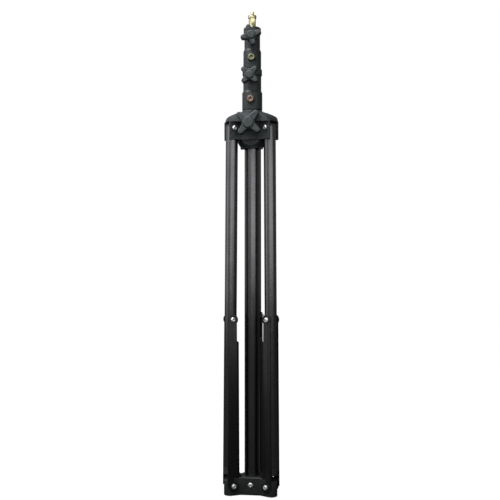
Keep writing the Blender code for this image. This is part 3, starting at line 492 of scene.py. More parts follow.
BRACE_PAINT = sheet_paint()
print("made", BRACE_PAINT.name)

# %% [markdown]
# ## The mast: column and two risers
# Three tubes slide in each other. The stand is folded, so only the column shows, but the risers are
# made as well, because they slide out. A tube's ends are cut square and deburred, a 0.3 mm
# rounding.

# %% Column and risers
COLUMN_RADIUS, COLUMN_BORE = 14.75 * MM, 13.25 * MM
RISER_1_RADIUS, RISER_1_BORE = 12.5 * MM, 11.3 * MM
RISER_2_RADIUS, RISER_2_BORE = 10.3 * MM, 9.1 * MM
GAP = 0.3 * MM


def node_heights(node):
    low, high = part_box(node)
    return low.z, high.z


for node, outer, bore, body in (("column_tube", COLUMN_RADIUS, COLUMN_BORE, "base"),
                                ("riser_1_tube", RISER_1_RADIUS, RISER_1_BORE, "riser_1"),
                                ("riser_2_tube", RISER_2_RADIUS, RISER_2_BORE, "riser_2")):
    low, high = node_heights(node)
    mast = turned("mast_" + node, tube_profile(outer, bore, low, high), 0.3 * MM, 96, 2)
    place(mast, body, ANODISED, "anodised", node)
    print(node, "is", round((high - low) / MM), "mm long")

for node, outer, body in (("riser_1_guide", COLUMN_BORE - GAP, "riser_1"),
                          ("riser_2_guide", RISER_1_BORE - GAP, "riser_2")):
    low, high = node_heights(node)
    inner = (RISER_1_BORE if body == "riser_1" else RISER_2_BORE) - GAP
    ring = turned("slide_" + node, [(0, high), (inner, high), (inner, low + 8 * MM),
                                    (outer, low + 8 * MM), (outer, low), (0, low)], 0.6 * MM, 64)
    place(ring, body, ACETAL, "bush", node)

# %% [markdown]
# ## The spigot
# A lamp head's 16 mm socket drops over the spigot and its screw bites on the flat waist. The waist
# is hexagonal, and the tip has a quarter inch thread, 20 turns to the inch. The thread is one ridge
# that follows a helix, so Geometry Nodes sweep a small triangle along a spiral with the real pitch.

# %% The brass spigot
SPIGOT_LOW, SPIGOT_TOP = node_heights("spigot")
TIP_LENGTH, HEAD_HEIGHT, WAIST_LENGTH, RIM_HEIGHT = 7.5 * MM, 6.5 * MM, 15.5 * MM, 1.6 * MM
TIP_LOW = SPIGOT_TOP - TIP_LENGTH
HEAD_LOW = TIP_LOW - HEAD_HEIGHT
RIM_LOW = HEAD_LOW - WAIST_LENGTH - RIM_HEIGHT
HEAD_RADIUS, WAIST_RADIUS, WAIST_TURN = 8.0 * MM, 7.0 * MM, 52.0
TIP_CORE, THREAD_RIDGE, INCH_PITCH = 2.75 * MM, 0.42 * MM, 1.27 * MM


def spigot_body():
    shank = RISER_2_BORE - GAP
    body = turned("spigot_body", [
        (0, HEAD_LOW - WAIST_LENGTH), (RISER_2_RADIUS - 1.2 * MM, HEAD_LOW - WAIST_LENGTH),
        (RISER_2_RADIUS, RIM_LOW + 0.8 * MM), (RISER_2_RADIUS, RIM_LOW),
        (shank, RIM_LOW), (shank, SPIGOT_LOW), (0, SPIGOT_LOW)], 0.3 * MM)
    waist = cylinder("waist", WAIST_RADIUS, HEAD_LOW - WAIST_LENGTH - 0.5 * MM, HEAD_LOW + MM, 6)
    turn(waist, WAIST_TURN, "Z")
    head = turned("head", [
        (0, SPIGOT_TOP), (TIP_CORE - MM, SPIGOT_TOP), (TIP_CORE, SPIGOT_TOP - 1.4 * MM),
        (TIP_CORE, TIP_LOW), (HEAD_RADIUS - MM, TIP_LOW), (HEAD_RADIUS, TIP_LOW - MM),
        (HEAD_RADIUS, HEAD_LOW + MM), (HEAD_RADIUS - MM, HEAD_LOW), (0, HEAD_LOW)], 0.3 * MM)
    join(body, waist, head)
    return soften(body, 0.25 * MM, 2, 25)


def open_tree(name, **kinds):
    """Start a Geometry Nodes tree; returns it, what it is given and its inputs' identifiers."""
    tree = bpy.data.node_groups.new(name, "GeometryNodeTree")
    identifiers = {}
    for label, kind in (("Geometry", "Geometry"), *kinds.items(), ("Material", "Material")):
        socket = tree.interface.new_socket(label, in_out="INPUT", socket_type="NodeSocket" + kind)
        identifiers[label] = socket.identifier
    tree.interface.new_socket("Geometry", in_out="OUTPUT", socket_type="NodeSocketGeometry")
    return tree, add_node(tree, "NodeGroupInput").outputs, identifiers


def close_tree(tree, made, material):
    """End a tree with real geometry, not instances, in the material that it is given."""
    real = add_node(tree, "GeometryNodeRealizeInstances", links={"Geometry": made})
    finish = add_node(tree, "GeometryNodeSetMaterial",
                      links={"Geometry": real.outputs["Geometry"], "Material": material})
    add_node(tree, "NodeGroupOutput", links={"Geometry": finish.outputs["Geometry"]})


def thread_tree(name):
    """Geometry Nodes: a ridge that follows a helix, for any screw thread."""
    tree, given, identifiers = open_tree(name, Radius="Float", Pitch="Float", Turns="Float",
                                         Ridge="Float")
    height = add_node(tree, "ShaderNodeMath", links={0: given["Pitch"], 1: given["Turns"]},
                      operation="MULTIPLY")
    spiral = add_node(tree, "GeometryNodeCurveSpiral", {"Resolution": 24},
                      {"Rotations": given["Turns"], "Start Radius": given["Radius"],
                       "End Radius": given["Radius"], "Height": height.outputs[0]})
    ridge = add_node(tree, "GeometryNodeCurvePrimitiveCircle", {"Resolution": 4},
                     {"Radius": given["Ridge"]})
    swept = add_node(tree, "GeometryNodeCurveToMesh", {"Fill Caps": True},
                     {"Curve": spiral.outputs["Curve"], "Profile Curve": ridge.outputs["Curve"]})
    close_tree(tree, swept.outputs["Mesh"], given["Material"])
    return tree, identifiers


THREAD, THREAD_INPUTS = thread_tree("screw_thread")


def grown(name, tree, identifiers, **values):
    """Run a Geometry Nodes tree on an empty mesh and keep the result as a plain mesh."""
    piece = add_object(name, bpy.data.meshes.new(name))
    modifier = piece.modifiers.new("grow", "NODES")
    modifier.node_group = tree
    for label, value in values.items():
        modifier[identifiers[label]] = value
    return settle(piece)


place(spigot_body(), "riser_2", BRASS, "brass", "spigot")
thread = grown("spigot_thread", THREAD, THREAD_INPUTS, Radius=TIP_CORE, Pitch=INCH_PITCH,
               Turns=4.2, Ridge=THREAD_RIDGE, Material=BRASS)
shift(thread, z=TIP_LOW + 0.5 * MM)
place(thread, "riser_2", BRASS, "brass")
pin_low, pin_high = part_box("spigot_pin")
pin = cylinder("spigot_cross_pin", 1.5 * MM, -8.5 * MM, 8.5 * MM, 32)
shift(turn(pin, 90, "X"), z=(pin_low.z + pin_high.z) / 2)
place(pin, "riser_2", ZINC, "zinc", "spigot_pin")
print("the thread has", len(thread.data.polygons), "faces")

# %% [markdown]
# ## The lock collars
# Each collar is one casting with two barrels. The wide lower barrel grips a tube and is held by a
# socket screw; the narrow upper barrel guides the riser inside it and carries the lock knob on a
# boss. The rim has a thicker band. Small radii on every edge are left by the die.

# %% Collars, bushes and their screws
GRIP_HEIGHT, COLLAR_HEIGHT = 34.6 * MM, 77.5 * MM
GRIP_WALL, GUIDE_WALL, SCREW_RISE = 4.2 * MM, 3.1 * MM, 18.7 * MM
KNOB_DROPS, KNOB_ANGLES = {1: 20.0 * MM, 2: 15.5 * MM}, {1: 3.5, 2: -0.5, 3: 0.0}
KNOB_OUT, BOSS_RADIUS, STUD_HOLE = 26.5 * MM, 7.5 * MM, 4.3 * MM
SCREW_HEAD, SCREW_HEAD_HEIGHT, SCREW_SHANK, SCREW_SOCKET = 6.5 * MM, 7.0 * MM, 4.0 * MM, 3.5 * MM


def collar_casting(name, low, tube_radius, riser_radius, knob_drop, angle):
    grip_bore = tube_radius + GAP
    guide_bore = riser_radius + 1.6 * MM
    grip, guide = grip_bore + GRIP_WALL, guide_bore + GUIDE_WALL
    step, top = low + GRIP_HEIGHT, low + COLLAR_HEIGHT
    knob_z, screw_z = top - knob_drop, low + SCREW_RISE
    body = turned(name, [
        (0, top), (guide + 1.5 * MM, top), (guide + 1.5 * MM, top - 11.0 * MM),
        (guide, top - 12.5 * MM), (guide, step + 2.1 * MM), (grip, step - 2.1 * MM),
        (grip, low), (0, low)], 0.9 * MM, 96, 4)
    boss = turned("boss", [
        (0, KNOB_OUT - GAP), (BOSS_RADIUS, KNOB_OUT - GAP), (BOSS_RADIUS, guide + 2.6 * MM),
        (10.2 * MM, guide - 1.5 * MM), (10.2 * MM, riser_radius + 2.0 * MM),
        (0, riser_radius + 2.0 * MM)], 1.2 * MM, 64, 4)
    shift(turn(boss, 90, "X"), z=knob_z)
    spot = turned("spot", [
        (0, grip + MM), (BOSS_RADIUS, grip + MM), (8.4 * MM, grip - 1.2 * MM),
        (8.4 * MM, tube_radius + 1.5 * MM), (0, tube_radius + 1.5 * MM)], 0.5 * MM, 64, 3)
    shift(turn(spot, 90, "X"), z=screw_z)
    join(body, boss, spot)
    cut(body, front_hole(STUD_HOLE, 0, 60 * MM, knob_z, 32))
    cut(body, front_hole(STUD_HOLE, 0, 60 * MM, screw_z, 32))
    cut(body, turned("bore", [
        (0, top + MM), (guide_bore, top + MM), (guide_bore, step), (grip_bore, step),
        (grip_bore, low - MM), (0, low - MM)], 0, 96))
    soften(body, 0.35 * MM, 2, 40)
    return turn(body, angle, "Z")


def guide_bush(name, low, riser_radius, knob_drop, angle):
    inner = riser_radius + GAP
    outer = inner + 1.0 * MM
    flange = outer + GUIDE_WALL
    top = low + COLLAR_HEIGHT
    bush = turned(name, [
        (flange, top + 1.2 * MM), (flange, top + GAP), (outer, top + GAP),
        (outer, low + GRIP_HEIGHT + MM), (inner, low + GRIP_HEIGHT + MM),
        (inner, top + 1.2 * MM)], 0.35 * MM, 96, 3)
    cut(bush, front_hole(STUD_HOLE, 0, 40 * MM, top - knob_drop, 32))
    return turn(bush, angle, "Z")


def socket_screw(name, tip, seat, radius, height, shank, socket):
    """A socket cap screw along Z; the knurl is grown round it later."""
    top = seat + height
    screw = turned(name, [
        (0, top), (radius - 0.3 * MM, top), (radius - 0.3 * MM, seat), (shank, seat),
        (shank, tip), (0, tip)], 0.7 * MM, 64, 3)
    cut(screw, cylinder("socket", socket, top - 0.55 * height, top + MM, 6))
    return soften(screw, 0.2 * MM, 2, 40)


def flute_tree(name):
    """Geometry Nodes: upright rods set side by side round a circle, for a knurled rim."""
    tree, given, identifiers = open_tree(name, Radius="Float", Count="Int", Rod="Float",
                                         Height="Float")
    circle = add_node(tree, "GeometryNodeMeshCircle",
                      links={"Vertices": given["Count"], "Radius": given["Radius"]})
    rod = add_node(tree, "GeometryNodeMeshCylinder", {"Vertices": 6},
                   {"Radius": given["Rod"], "Depth": given["Height"]})
    copies = add_node(tree, "GeometryNodeInstanceOnPoints",
                      links={"Points": circle.outputs["Mesh"], "Instance": rod.outputs["Mesh"]})
    close_tree(tree, copies.outputs["Instances"], given["Material"])
    return tree, identifiers


FLUTES, FLUTE_INPUTS = flute_tree("knurled_rim")

COLUMN_COLLAR_LOW = node_heights("column_collar")[0]
RISER_1_COLLAR_LOW = node_heights("riser_1_collar")[0]
for node, low, tube_radius, riser_radius, knob, body, metal, slot_name in (
        ("column_collar", COLUMN_COLLAR_LOW, COLUMN_RADIUS, RISER_1_RADIUS, 2, "base",
         RED_ZINC, "red_zinc"),
        ("riser_1_collar", RISER_1_COLLAR_LOW, RISER_1_RADIUS, RISER_2_RADIUS, 1, "riser_1",
         YELLOW_ZINC, "yellow_zinc")):
    drop, angle = KNOB_DROPS[knob], KNOB_ANGLES[knob]
    casting = collar_casting("cast_" + node, low, tube_radius, riser_radius, drop, angle)
    place(casting, body, CASTING, "casting", node)
    bush = guide_bush("lined_" + node, low, riser_radius, drop, angle)
    place(bush, body, ACETAL, "bush", node + "_bush")
    seat = tube_radius + GAP + GRIP_WALL + 1.3 * MM
    screw = socket_screw("socket_" + node, tube_radius + GAP, seat, SCREW_HEAD, SCREW_HEAD_HEIGHT,
                         SCREW_SHANK, SCREW_SOCKET)
    knurl = grown("knurl_" + node, FLUTES, FLUTE_INPUTS, Radius=6.2 * MM, Count=36,
                  Rod=0.32 * MM, Height=4.6 * MM, Material=metal)
    shift(knurl, z=seat + 3.3 * MM)
    for piece in (screw, knurl):
        shift(turn(piece, 90, "X"), z=low + SCREW_RISE)
        turn(piece, angle, "Z")
    place(screw, body, metal, slot_name, node + "_screw")
    place(knurl, body, metal, slot_name)
    print(node, "has", len(casting.data.polygons), "faces")

# %% [markdown]
# ## The lock knobs
# A lobed knob has four fingers that thin a little towards their ends, with round rims so that it
# can be gripped hard. Its moulded cap covers the stud's head. The outline comes from two arcs a
# finger, and a shallow dish is cut in the face round the cap.

# %% Knobs, caps and studs
CARRIER_KNOB_Z, CARRIER_KNOB_OUT = 700.5 * MM, 42.0 * MM
STUD_RADIUS, STUD_PITCH = 3.6 * MM, 1.25 * MM
STUD_SHARE = 0.72                                     # of a knob's thickness that its stud is sunk in


def lobed_outline(reach, core, finger):
    root = degrees(asin(finger / core))
    outline = []
    for lobe in range(4):
        angle = pi / 2 * lobe
        end = arc((reach - finger, 0), finger, -90, 90, 16)
        valley = arc((0, 0), core, root + 8, 82 - root, 8)
        for x, y in end + valley:
            outline.append((x * cos(angle) - y * sin(angle), x * sin(angle) + y * cos(angle)))
    return outline


def front_place(piece, z, angle, out):
    """Stand a piece that was made along Z on the front of the mast, at its distance out."""
    shift(piece, z=out)
    shift(turn(piece, 90, "X"), z=z)
    return turn(piece, angle, "Z")


def lock_knob(number, reach, core, finger, thick, cap_radius, tip, lobes_turn):
    sunk = STUD_SHARE * thick
    body = plate("grip_%d" % number, lobed_outline(reach, core, finger), 0, thick, 2.4 * MM, 5)
    dish = turned("dish", [
        (0, thick + MM), (0.99 * core, thick + MM), (0.86 * core, thick - 0.7 * MM),
        (0, thick - 0.7 * MM)], 0.2 * MM, 64)
    recess = turned("recess", [
        (0, 1.6 * MM), (0.62 * core, 1.6 * MM), (0.72 * core, -MM), (0, -MM)], 0.5 * MM, 64)
    cut(body, dish, recess, cylinder("hole", STUD_HOLE, -2 * MM, sunk + GAP, 32))
    join(body, cylinder("land", cap_radius - 0.4 * MM, thick - 1.5 * MM, thick, 64))
    soften(body, 0.3 * MM, 2, 50)
    turn(body, lobes_turn, "Z")
    low = thick + GAP
    high = low + 2.2 * MM
    cap = turned("cap_%d" % number, [
        (0, high), (0.72 * cap_radius, high), (0.94 * cap_radius, high - 0.5 * MM),
        (cap_radius, high - 1.2 * MM), (cap_radius, low), (0, low)], 0.5 * MM, 72, 4)
    stud = turned("stud_%d" % number, [
        (0, sunk), (STUD_RADIUS, sunk), (STUD_RADIUS, tip + MM), (STUD_RADIUS - MM, tip),
        (0, tip)], 0.2 * MM, 48)
    thread_length = sunk - tip - 2.5 * MM
    ridge = grown("stud_thread_%d" % number, THREAD, THREAD_INPUTS,
                  Radius=STUD_RADIUS - 0.05 * MM, Pitch=STUD_PITCH,
                  Turns=thread_length / STUD_PITCH, Ridge=0.44 * MM, Material=ZINC)
    shift(ridge, z=tip + 1.2 * MM)
    return body, cap, stud, ridge


KNOBS = {
    1: (RISER_1_COLLAR_LOW + COLLAR_HEIGHT - KNOB_DROPS[1], KNOB_OUT, RISER_2_RADIUS, 17.0),
    2: (COLUMN_COLLAR_LOW + COLLAR_HEIGHT - KNOB_DROPS[2], KNOB_OUT, RISER_1_RADIUS, 47.0),
    3: (CARRIER_KNOB_Z, CARRIER_KNOB_OUT, COLUMN_RADIUS, 50.0),
}
SMALL_KNOB = {"reach": 20.0 * MM, "core": 10.5 * MM, "finger": 4.7 * MM, "thick": 13.0 * MM,
              "cap_radius": 8.0 * MM}
LARGE_KNOB = {"reach": 27.5 * MM, "core": 12.5 * MM, "finger": 5.4 * MM, "thick": 15.5 * MM,
              "cap_radius": 10.6 * MM}
for number, (z, out, tube_radius, lobes_turn) in KNOBS.items():
    sizes = LARGE_KNOB if number == 3 else SMALL_KNOB
    pieces = lock_knob(number, tip=tube_radius + GAP - out, lobes_turn=lobes_turn, **sizes)
    for piece, material, slot_name, node in zip(
            pieces, (NYLON, NYLON, ZINC, ZINC), ("plastic", "plastic", "zinc", "zinc"),
            ("knob_%d", "knob_%d_cap", "knob_%d_stud", "")):
        front_place(piece, z, KNOB_ANGLES[number], out)
        place(piece, "knob_%d" % number, material, slot_name,
              *([node % number] if node else []))
    print("knob", number, "spans", round(2 * sizes["reach"] / MM), "mm")

# %% [markdown]
# ## The base hub
# The hub is a casting with three tongues, one for each brace, clamped on the column's end. Each
# tongue is round at its end, sloped on top where the leg's foot swings over it, and has a bolt
# across it.

# %% Hub, end plug and clamp screw
LEG_AZIMUTHS = {1: 210.0, 2: 330.0, 3: 90.0}
BOLT_SIDES = {1: 1, 2: -1, 3: 1}
LEG_RADIUS, LEG_BORE = 11.5 * MM, 10.3 * MM
HUB_HEIGHT, HUB_FLAT, HUB_REACH = 34.0 * MM, 24.0 * MM, 57.0 * MM
HUB_PIVOT_RADIUS, HUB_PIVOT_Z, HUB_SCREW_Z = 42.4 * MM, 18.0 * MM, 19.5 * MM
HUB_COLLAR, HUB_SLOPE = COLUMN_RADIUS + 4.2 * MM, 27.0
HINGE_HALF, BRACE_SHEET = 11.85 * MM, 1.6 * MM
FLANGE_OUT = HINGE_HALF + BRACE_SHEET
BOLT_SHANK, BOLT_HOLE, THROUGH = 3.0 * MM, 3.3 * MM, 30 * MM


def three_arm_outline(flat, half_width, reach, round_ends, steps=24):
    side = (flat - half_width * sin(radians(60))) / cos(radians(60))
    outline = []
    for azimuth in sorted(LEG_AZIMUTHS.values()):
        end = [(reach, -half_width), (reach, half_width)]
        if round_ends:
            end = arc((reach - half_width, 0), half_width, -90, 90, steps)
        points = end if side > reach - MM else [(side, -half_width)] + end + [(side, half_width)]
        spin = radians(azimuth)
        for x, y in points:
            outline.append((x * cos(spin) - y * sin(spin), x * sin(spin) + y * cos(spin)))
    return outline


def hub_casting():
    outline = three_arm_outline(HUB_FLAT, LEG_RADIUS, HUB_REACH, True)
    hub = plate("cast_hub", outline, 0, HUB_HEIGHT, 1.6 * MM, 4)
    collar_top = HUB_HEIGHT - 0.2 * MM
    collar = turned("collar", [(0, collar_top), (HUB_COLLAR, collar_top), (HUB_COLLAR, 4 * MM),
                               (0, 4 * MM)], 0, 72)
    join(hub, collar)
    cut(hub, cylinder("bore", COLUMN_RADIUS + GAP, -MM, HUB_HEIGHT + MM, 96))
    for azimuth in LEG_AZIMUTHS.values():
        hole = y_hole(BOLT_HOLE, THROUGH, HUB_PIVOT_RADIUS, HUB_PIVOT_Z)
        slope = box("slope", (0, -2 * LEG_RADIUS, 0), (HUB_REACH, 2 * LEG_RADIUS, HUB_HEIGHT))
        shift(turn(slope, HUB_SLOPE, "Y"), x=HUB_PIVOT_RADIUS + 2 * MM, z=HUB_HEIGHT)
        cut(hub, turn(hole, azimuth, "Z"), turn(slope, azimuth, "Z"))
    cut(hub, front_hole(BOLT_HOLE, COLUMN_RADIUS, HUB_REACH, HUB_SCREW_Z, 32))
    return soften(hub, 0.6 * MM, 3, 30)


def button_bolt(name, head_low, tip, radius=5.2 * MM, socket=2.3 * MM):
    """A round headed bolt with a hexagon socket, along Z."""
    top = head_low + 3.2 * MM
    bolt = turned(name, [
        (0, top), (0.55 * radius, top), (0.9 * radius, top - MM), (radius, head_low + 0.9 * MM),
        (radius, head_low), (BOLT_SHANK, head_low), (BOLT_SHANK, tip), (0, tip)],
        0.5 * MM, 48, 3)
    cut(bolt, cylinder("socket", socket, top - 1.8 * MM, top + MM, 6))
    return soften(bolt, 0.15 * MM, 2, 40)


def lock_nut(name, low, high):
    """A hexagon nut with the chamfer of its corners and a round collar for its nylon ring."""
    nut = cylinder(name, 5.6 * MM, low, high, 6)
    body = turned("body", [
        (0, high), (4.9 * MM, high), (5.75 * MM, high - 0.5 * MM), (5.75 * MM, low + 1.2 * MM),
        (4.4 * MM, low + 0.9 * MM), (4.4 * MM, low), (0, low)], 0.1 * MM, 48)
    common(nut, body)
    cut(nut, cylinder("bore", BOLT_HOLE, low - MM, high + MM, 32))
    return soften(nut, 0.15 * MM, 2, 30)


place(hub_casting(), "base", HUB_PAINT_DARKENED_FOR_SHADE, "casting", "base_hub")
plug_top = node_heights("column_end_plug")[1]
plug = turned("end_plug", [
    (0, plug_top), (COLUMN_BORE - GAP, plug_top), (COLUMN_BORE - GAP, 2 * MM),
    (COLUMN_RADIUS, 2 * MM), (COLUMN_RADIUS, 0), (0, 0)], 0.4 * MM, 96)
place(plug, "base", ACETAL, "bush", "column_end_plug")
clamp = button_bolt("hub_screw", HUB_FLAT + GAP, COLUMN_RADIUS + GAP)
shift(turn(clamp, 90, "X"), z=HUB_SCREW_Z)
place(clamp, "base", ZINC, "zinc", "hub_clamp_screw")


def hinge_hardware(stem, body, cheek_outside, x, z):
    seat = cheek_outside + GAP
    for number, azimuth in LEG_AZIMUTHS.items():
        bolt = button_bolt("%s_hinge_bolt_%d" % (stem, number), seat, -(seat + 5.0 * MM))
        nut = lock_nut("%s_hinge_nut_%d" % (stem, number), -(seat + 4.0 * MM), -seat)
        for piece, node in ((bolt, "%s_bolt_%d"), (nut, "%s_nut_%d")):
            shift(turn(piece, -90 * BOLT_SIDES[number], "X"), x=x, z=z)
            turn(piece, azimuth, "Z")
            place(piece, body, ZINC, "zinc", node % (stem, number))


hinge_hardware("hub", "base", FLANGE_OUT, HUB_PIVOT_RADIUS, HUB_PIVOT_Z)
print("hub and its bolts are in place")

# %% [markdown]
# ## The leg carrier
# The carrier slides on the column and carries the upper hinges of the legs. Seen from above it is a
# hexagon under a low dome; below its roof there are pairs of cheeks for the legs, and a guide ring
# with three lugs. It is one casting, so all its forms are joined first and its edges are rounded in
# one go.

# %% The leg carrier
SPIDER_PIVOT_RADIUS, SPIDER_PIVOT_Z = 41.6 * MM, 693.0 * MM
CHEEK_OUTSIDE, CHEEK_INNER_END, ARMS_FLAT = 14.65 * MM, 29.1 * MM, 26.0 * MM
SPIDER_REACH, SPIDER_TOP = 51.9 * MM, 730.0 * MM
ROOF, CHEEK_LOW, RING_LOW = 706.0 * MM, 671.5 * MM, 657.0 * MM
SKIRT_RADIUS, SKIRT_FLAT, SKIRT_LOW = 27.65 * MM, 23.4 * MM, 660.0 * MM
NECK, SPIDER_BORE = 19.15 * MM, 16.75 * MM


def dome_profile(low):
    """Heights of the dome above its roof: a cove at the neck, then full and round to the rim."""
    slope = SPIDER_REACH - NECK
    points = [(0, SPIDER_TOP), (NECK - MM, SPIDER_TOP), (NECK, SPIDER_TOP - MM)]
    for share, drop in ((0.04, 2.6), (0.17, 4.4), (0.42, 7.0), (0.66, 10.4), (0.83, 13.3),
                        (0.92, 15.9), (0.975, 19.6), (1.01, 24.4)):
        points.append((NECK + share * slope, SPIDER_TOP - drop * MM))
    return points + [(NECK + 1.6 * slope, low), (0, low)]


def carrier_casting():
    cap_flat = 0.5 * SPIDER_REACH + sqrt(0.75) * CHEEK_OUTSIDE
    cap = plate("cast_carrier", three_arm_outline(cap_flat, CHEEK_OUTSIDE, SPIDER_REACH, False),
                ROOF - MM, SPIDER_TOP + MM)
    common(cap, turned("dome", dome_profile(CHEEK_LOW - MM), 1.5 * MM, 96, 4))
    arms = plate("arms", three_arm_outline(ARMS_FLAT, CHEEK_OUTSIDE, SPIDER_REACH - 0.4 * MM,
                                           False), CHEEK_LOW, ROOF + 0.5 * MM, 0.8 * MM)
    lower = turned("lower", [
        (0, ROOF - MM), (NECK + 1.5 * MM, ROOF - MM), (NECK + 1.5 * MM, RING_LOW),
        (0, RING_LOW)], 0.8 * MM, 96)
    skirt = turned("skirt", [
        (0, ROOF - 2 * MM), (SKIRT_RADIUS, ROOF - 2 * MM), (SKIRT_RADIUS, SKIRT_LOW + 8 * MM),
        (SKIRT_RADIUS - 5 * MM, SKIRT_LOW), (0, SKIRT_LOW)], 0.8 * MM, 96)
    for azimuth in LEG_AZIMUTHS.values():
        flat = box("flat", (SKIRT_FLAT, -60 * MM, SKIRT_LOW - MM), (60 * MM, 60 * MM, ROOF))
        cut(skirt, turn(flat, azimuth + 180, "Z"))
    boss = turned("boss", [
        (0, CARRIER_KNOB_OUT - GAP), (BOSS_RADIUS, CARRIER_KNOB_OUT - GAP),
        (BOSS_RADIUS, 30.0 * MM), (9.5 * MM, 25.0 * MM),
        (9.5 * MM, COLUMN_RADIUS + MM), (0, COLUMN_RADIUS + MM)], 1.2 * MM, 64, 4)
    shift(turn(boss, 90, "X"), z=CARRIER_KNOB_Z)
    join(cap, arms, skirt, lower, boss)
    for azimuth in LEG_AZIMUTHS.values():
        lug = turned("lug", [
            (0, RING_LOW + 9 * MM), (4.6 * MM, RING_LOW + 9 * MM), (4.6 * MM, RING_LOW - 2 * MM),
            (0, RING_LOW - 2 * MM)], 0.8 * MM, 48)
        join(cap, turn(shift(lug, x=NECK), azimuth, "Z"))
    for azimuth in LEG_AZIMUTHS.values():
        slot = box("slot", (CHEEK_INNER_END, -HINGE_HALF, CHEEK_LOW - MM),
                   (100 * MM, HINGE_HALF, ROOF))
        hole = y_hole(BOLT_HOLE, THROUGH, SPIDER_PIVOT_RADIUS, SPIDER_PIVOT_Z)
        cut(cap, turn(slot, azimuth, "Z"), turn(hole, azimuth, "Z"))
    cut(cap, cylinder("bore", SPIDER_BORE, RING_LOW - 9 * MM, SPIDER_TOP + MM, 96))
    cut(cap, front_hole(STUD_HOLE, 0, 80 * MM, CARRIER_KNOB_Z, 32))
    return soften(cap, 0.5 * MM, 2, 28)


place(carrier_casting(), "spider", CASTING, "casting", "spider_casting", smooth=32)
bush = turned("lined_carrier", tube_profile(SPIDER_BORE - GAP, COLUMN_RADIUS + GAP, RING_LOW,
                                            SPIDER_TOP - MM), 0.3 * MM, 96)
cut(bush, front_hole(STUD_HOLE, 0, 30 * MM, CARRIER_KNOB_Z, 32))
place(bush, "spider", ACETAL, "bush", "spider_bush")
hinge_hardware("leg", "spider", CHEEK_OUTSIDE, SPIDER_PIVOT_RADIUS, SPIDER_PIVOT_Z)
print("the carrier is in place")

# %% [markdown]
# ## The legs
# A leg is a round tube with a cast head at its hinge and a rubber foot. All three are alike, so
# each piece is made once on an upright leg whose hinge is at the origin, and then copied to the
# three places. The foot's grooves are cut by rings that a Geometry Nodes tree stacks at an even
# spacing.

# %% Leg pieces
KNEE_RADIUS, KNEE_Z = 44.2 * MM, 331.9 * MM
LEG_LINK = hypot(KNEE_RADIUS - SPIDER_PIVOT_RADIUS, SPIDER_PIVOT_Z - KNEE_Z)
BRACE_LINK = hypot(KNEE_RADIUS - HUB_PIVOT_RADIUS, KNEE_Z - HUB_PIVOT_Z)
LEG_LEAN = asin((KNEE_RADIUS - SPIDER_PIVOT_RADIUS) / LEG_LINK)
BRACE_LEAN = asin((KNEE_RADIUS - HUB_PIVOT_RADIUS) / BRACE_LINK)
LEG_END, FOOT_LENGTH, TUBE_RISE, PLUG_LENGTH = 653.5 * MM, 14.0 * MM, 4.0 * MM, 22 * MM
KNEE_BUSH, KNEE_BUSH_BORE, KNEE_BUSH_HALF = 4.0 * MM, 3.0 * MM, 11.2 * MM


def ring_stack_tree(name):
    """Geometry Nodes: rings of a round section, stacked at an even spacing."""
    tree, given, identifiers = open_tree(name, Radius="Float", Section="Float", Count="Int",
                                         Spacing="Vector")
    line = add_node(tree, "GeometryNodeMeshLine",
                    links={"Count": given["Count"], "Offset": given["Spacing"]})
    circle = add_node(tree, "GeometryNodeCurvePrimitiveCircle", {"Resolution": 64},
                      {"Radius": given["Radius"]})
    section = add_node(tree, "GeometryNodeCurvePrimitiveCircle", {"Resolution": 10},
                       {"Radius": given["Section"]})
    ring = add_node(tree, "GeometryNodeCurveToMesh",
                    links={"Curve": circle.outputs["Curve"],
                           "Profile Curve": section.outputs["Curve"]})
    copies = add_node(tree, "GeometryNodeInstanceOnPoints",
                      links={"Points": line.outputs["Mesh"], "Instance": ring.outputs["Mesh"]})
    close_tree(tree, copies.outputs["Instances"], given["Material"])
    return tree, identifiers


RINGS, RING_INPUTS = ring_stack_tree("stacked_rings")


def leg_patterns():
    tube = turned("tube", tube_profile(LEG_RADIUS, LEG_BORE, -LEG_END + FOOT_LENGTH + GAP,
                                       TUBE_RISE - GAP), 0.3 * MM, 72)
    cut(tube, y_hole(KNEE_BUSH + GAP, THROUGH, 0, -LEG_LINK), y_hole(BOLT_HOLE, THROUGH))
    start = degrees(asin(TUBE_RISE / LEG_RADIUS))
    outline = arc((0, 0), LEG_RADIUS, start, 180 - start, 32)
    head = turn(plate("head", outline, -THROUGH, THROUGH), 90, "X")
    common(head, cylinder("round", LEG_RADIUS, 0, 20 * MM, 72))
    join(head, cylinder("plug", LEG_BORE - GAP, TUBE_RISE - PLUG_LENGTH, TUBE_RISE + MM, 72))
    cut(head, y_hole(BOLT_HOLE, THROUGH))
    soften(head, 0.5 * MM, 2, 30)
    sole, top = -LEG_END, -LEG_END + FOOT_LENGTH
    foot = turned("foot", [
        (0, top + PLUG_LENGTH), (LEG_BORE - GAP, top + PLUG_LENGTH), (LEG_BORE - GAP, top),
        (LEG_RADIUS, top), (LEG_RADIUS, sole), (0, sole)], 2.2 * MM, 72, 5)
    grooves = grown("grooves", RINGS, RING_INPUTS, Radius=LEG_RADIUS + 0.35 * MM,
                    Section=0.75 * MM, Count=3, Spacing=(0.0, 0.0, 2.6 * MM), Material=RUBBER)
    cut(foot, shift(grooves, z=sole + 4.6 * MM))
    bush = turn(turned("bush", tube_profile(KNEE_BUSH, KNEE_BUSH_BORE, -KNEE_BUSH_HALF,
                                            KNEE_BUSH_HALF), 0.3 * MM, 48), 90, "X")
    shift(bush, z=-LEG_LINK)
    return {"tube": (tube, ANODISED, "anodised"), "head": (head, CASTING, "casting"),
            "foot": (foot, RUBBER, "rubber"), "knee_bush": (bush, ZINC, "zinc")}


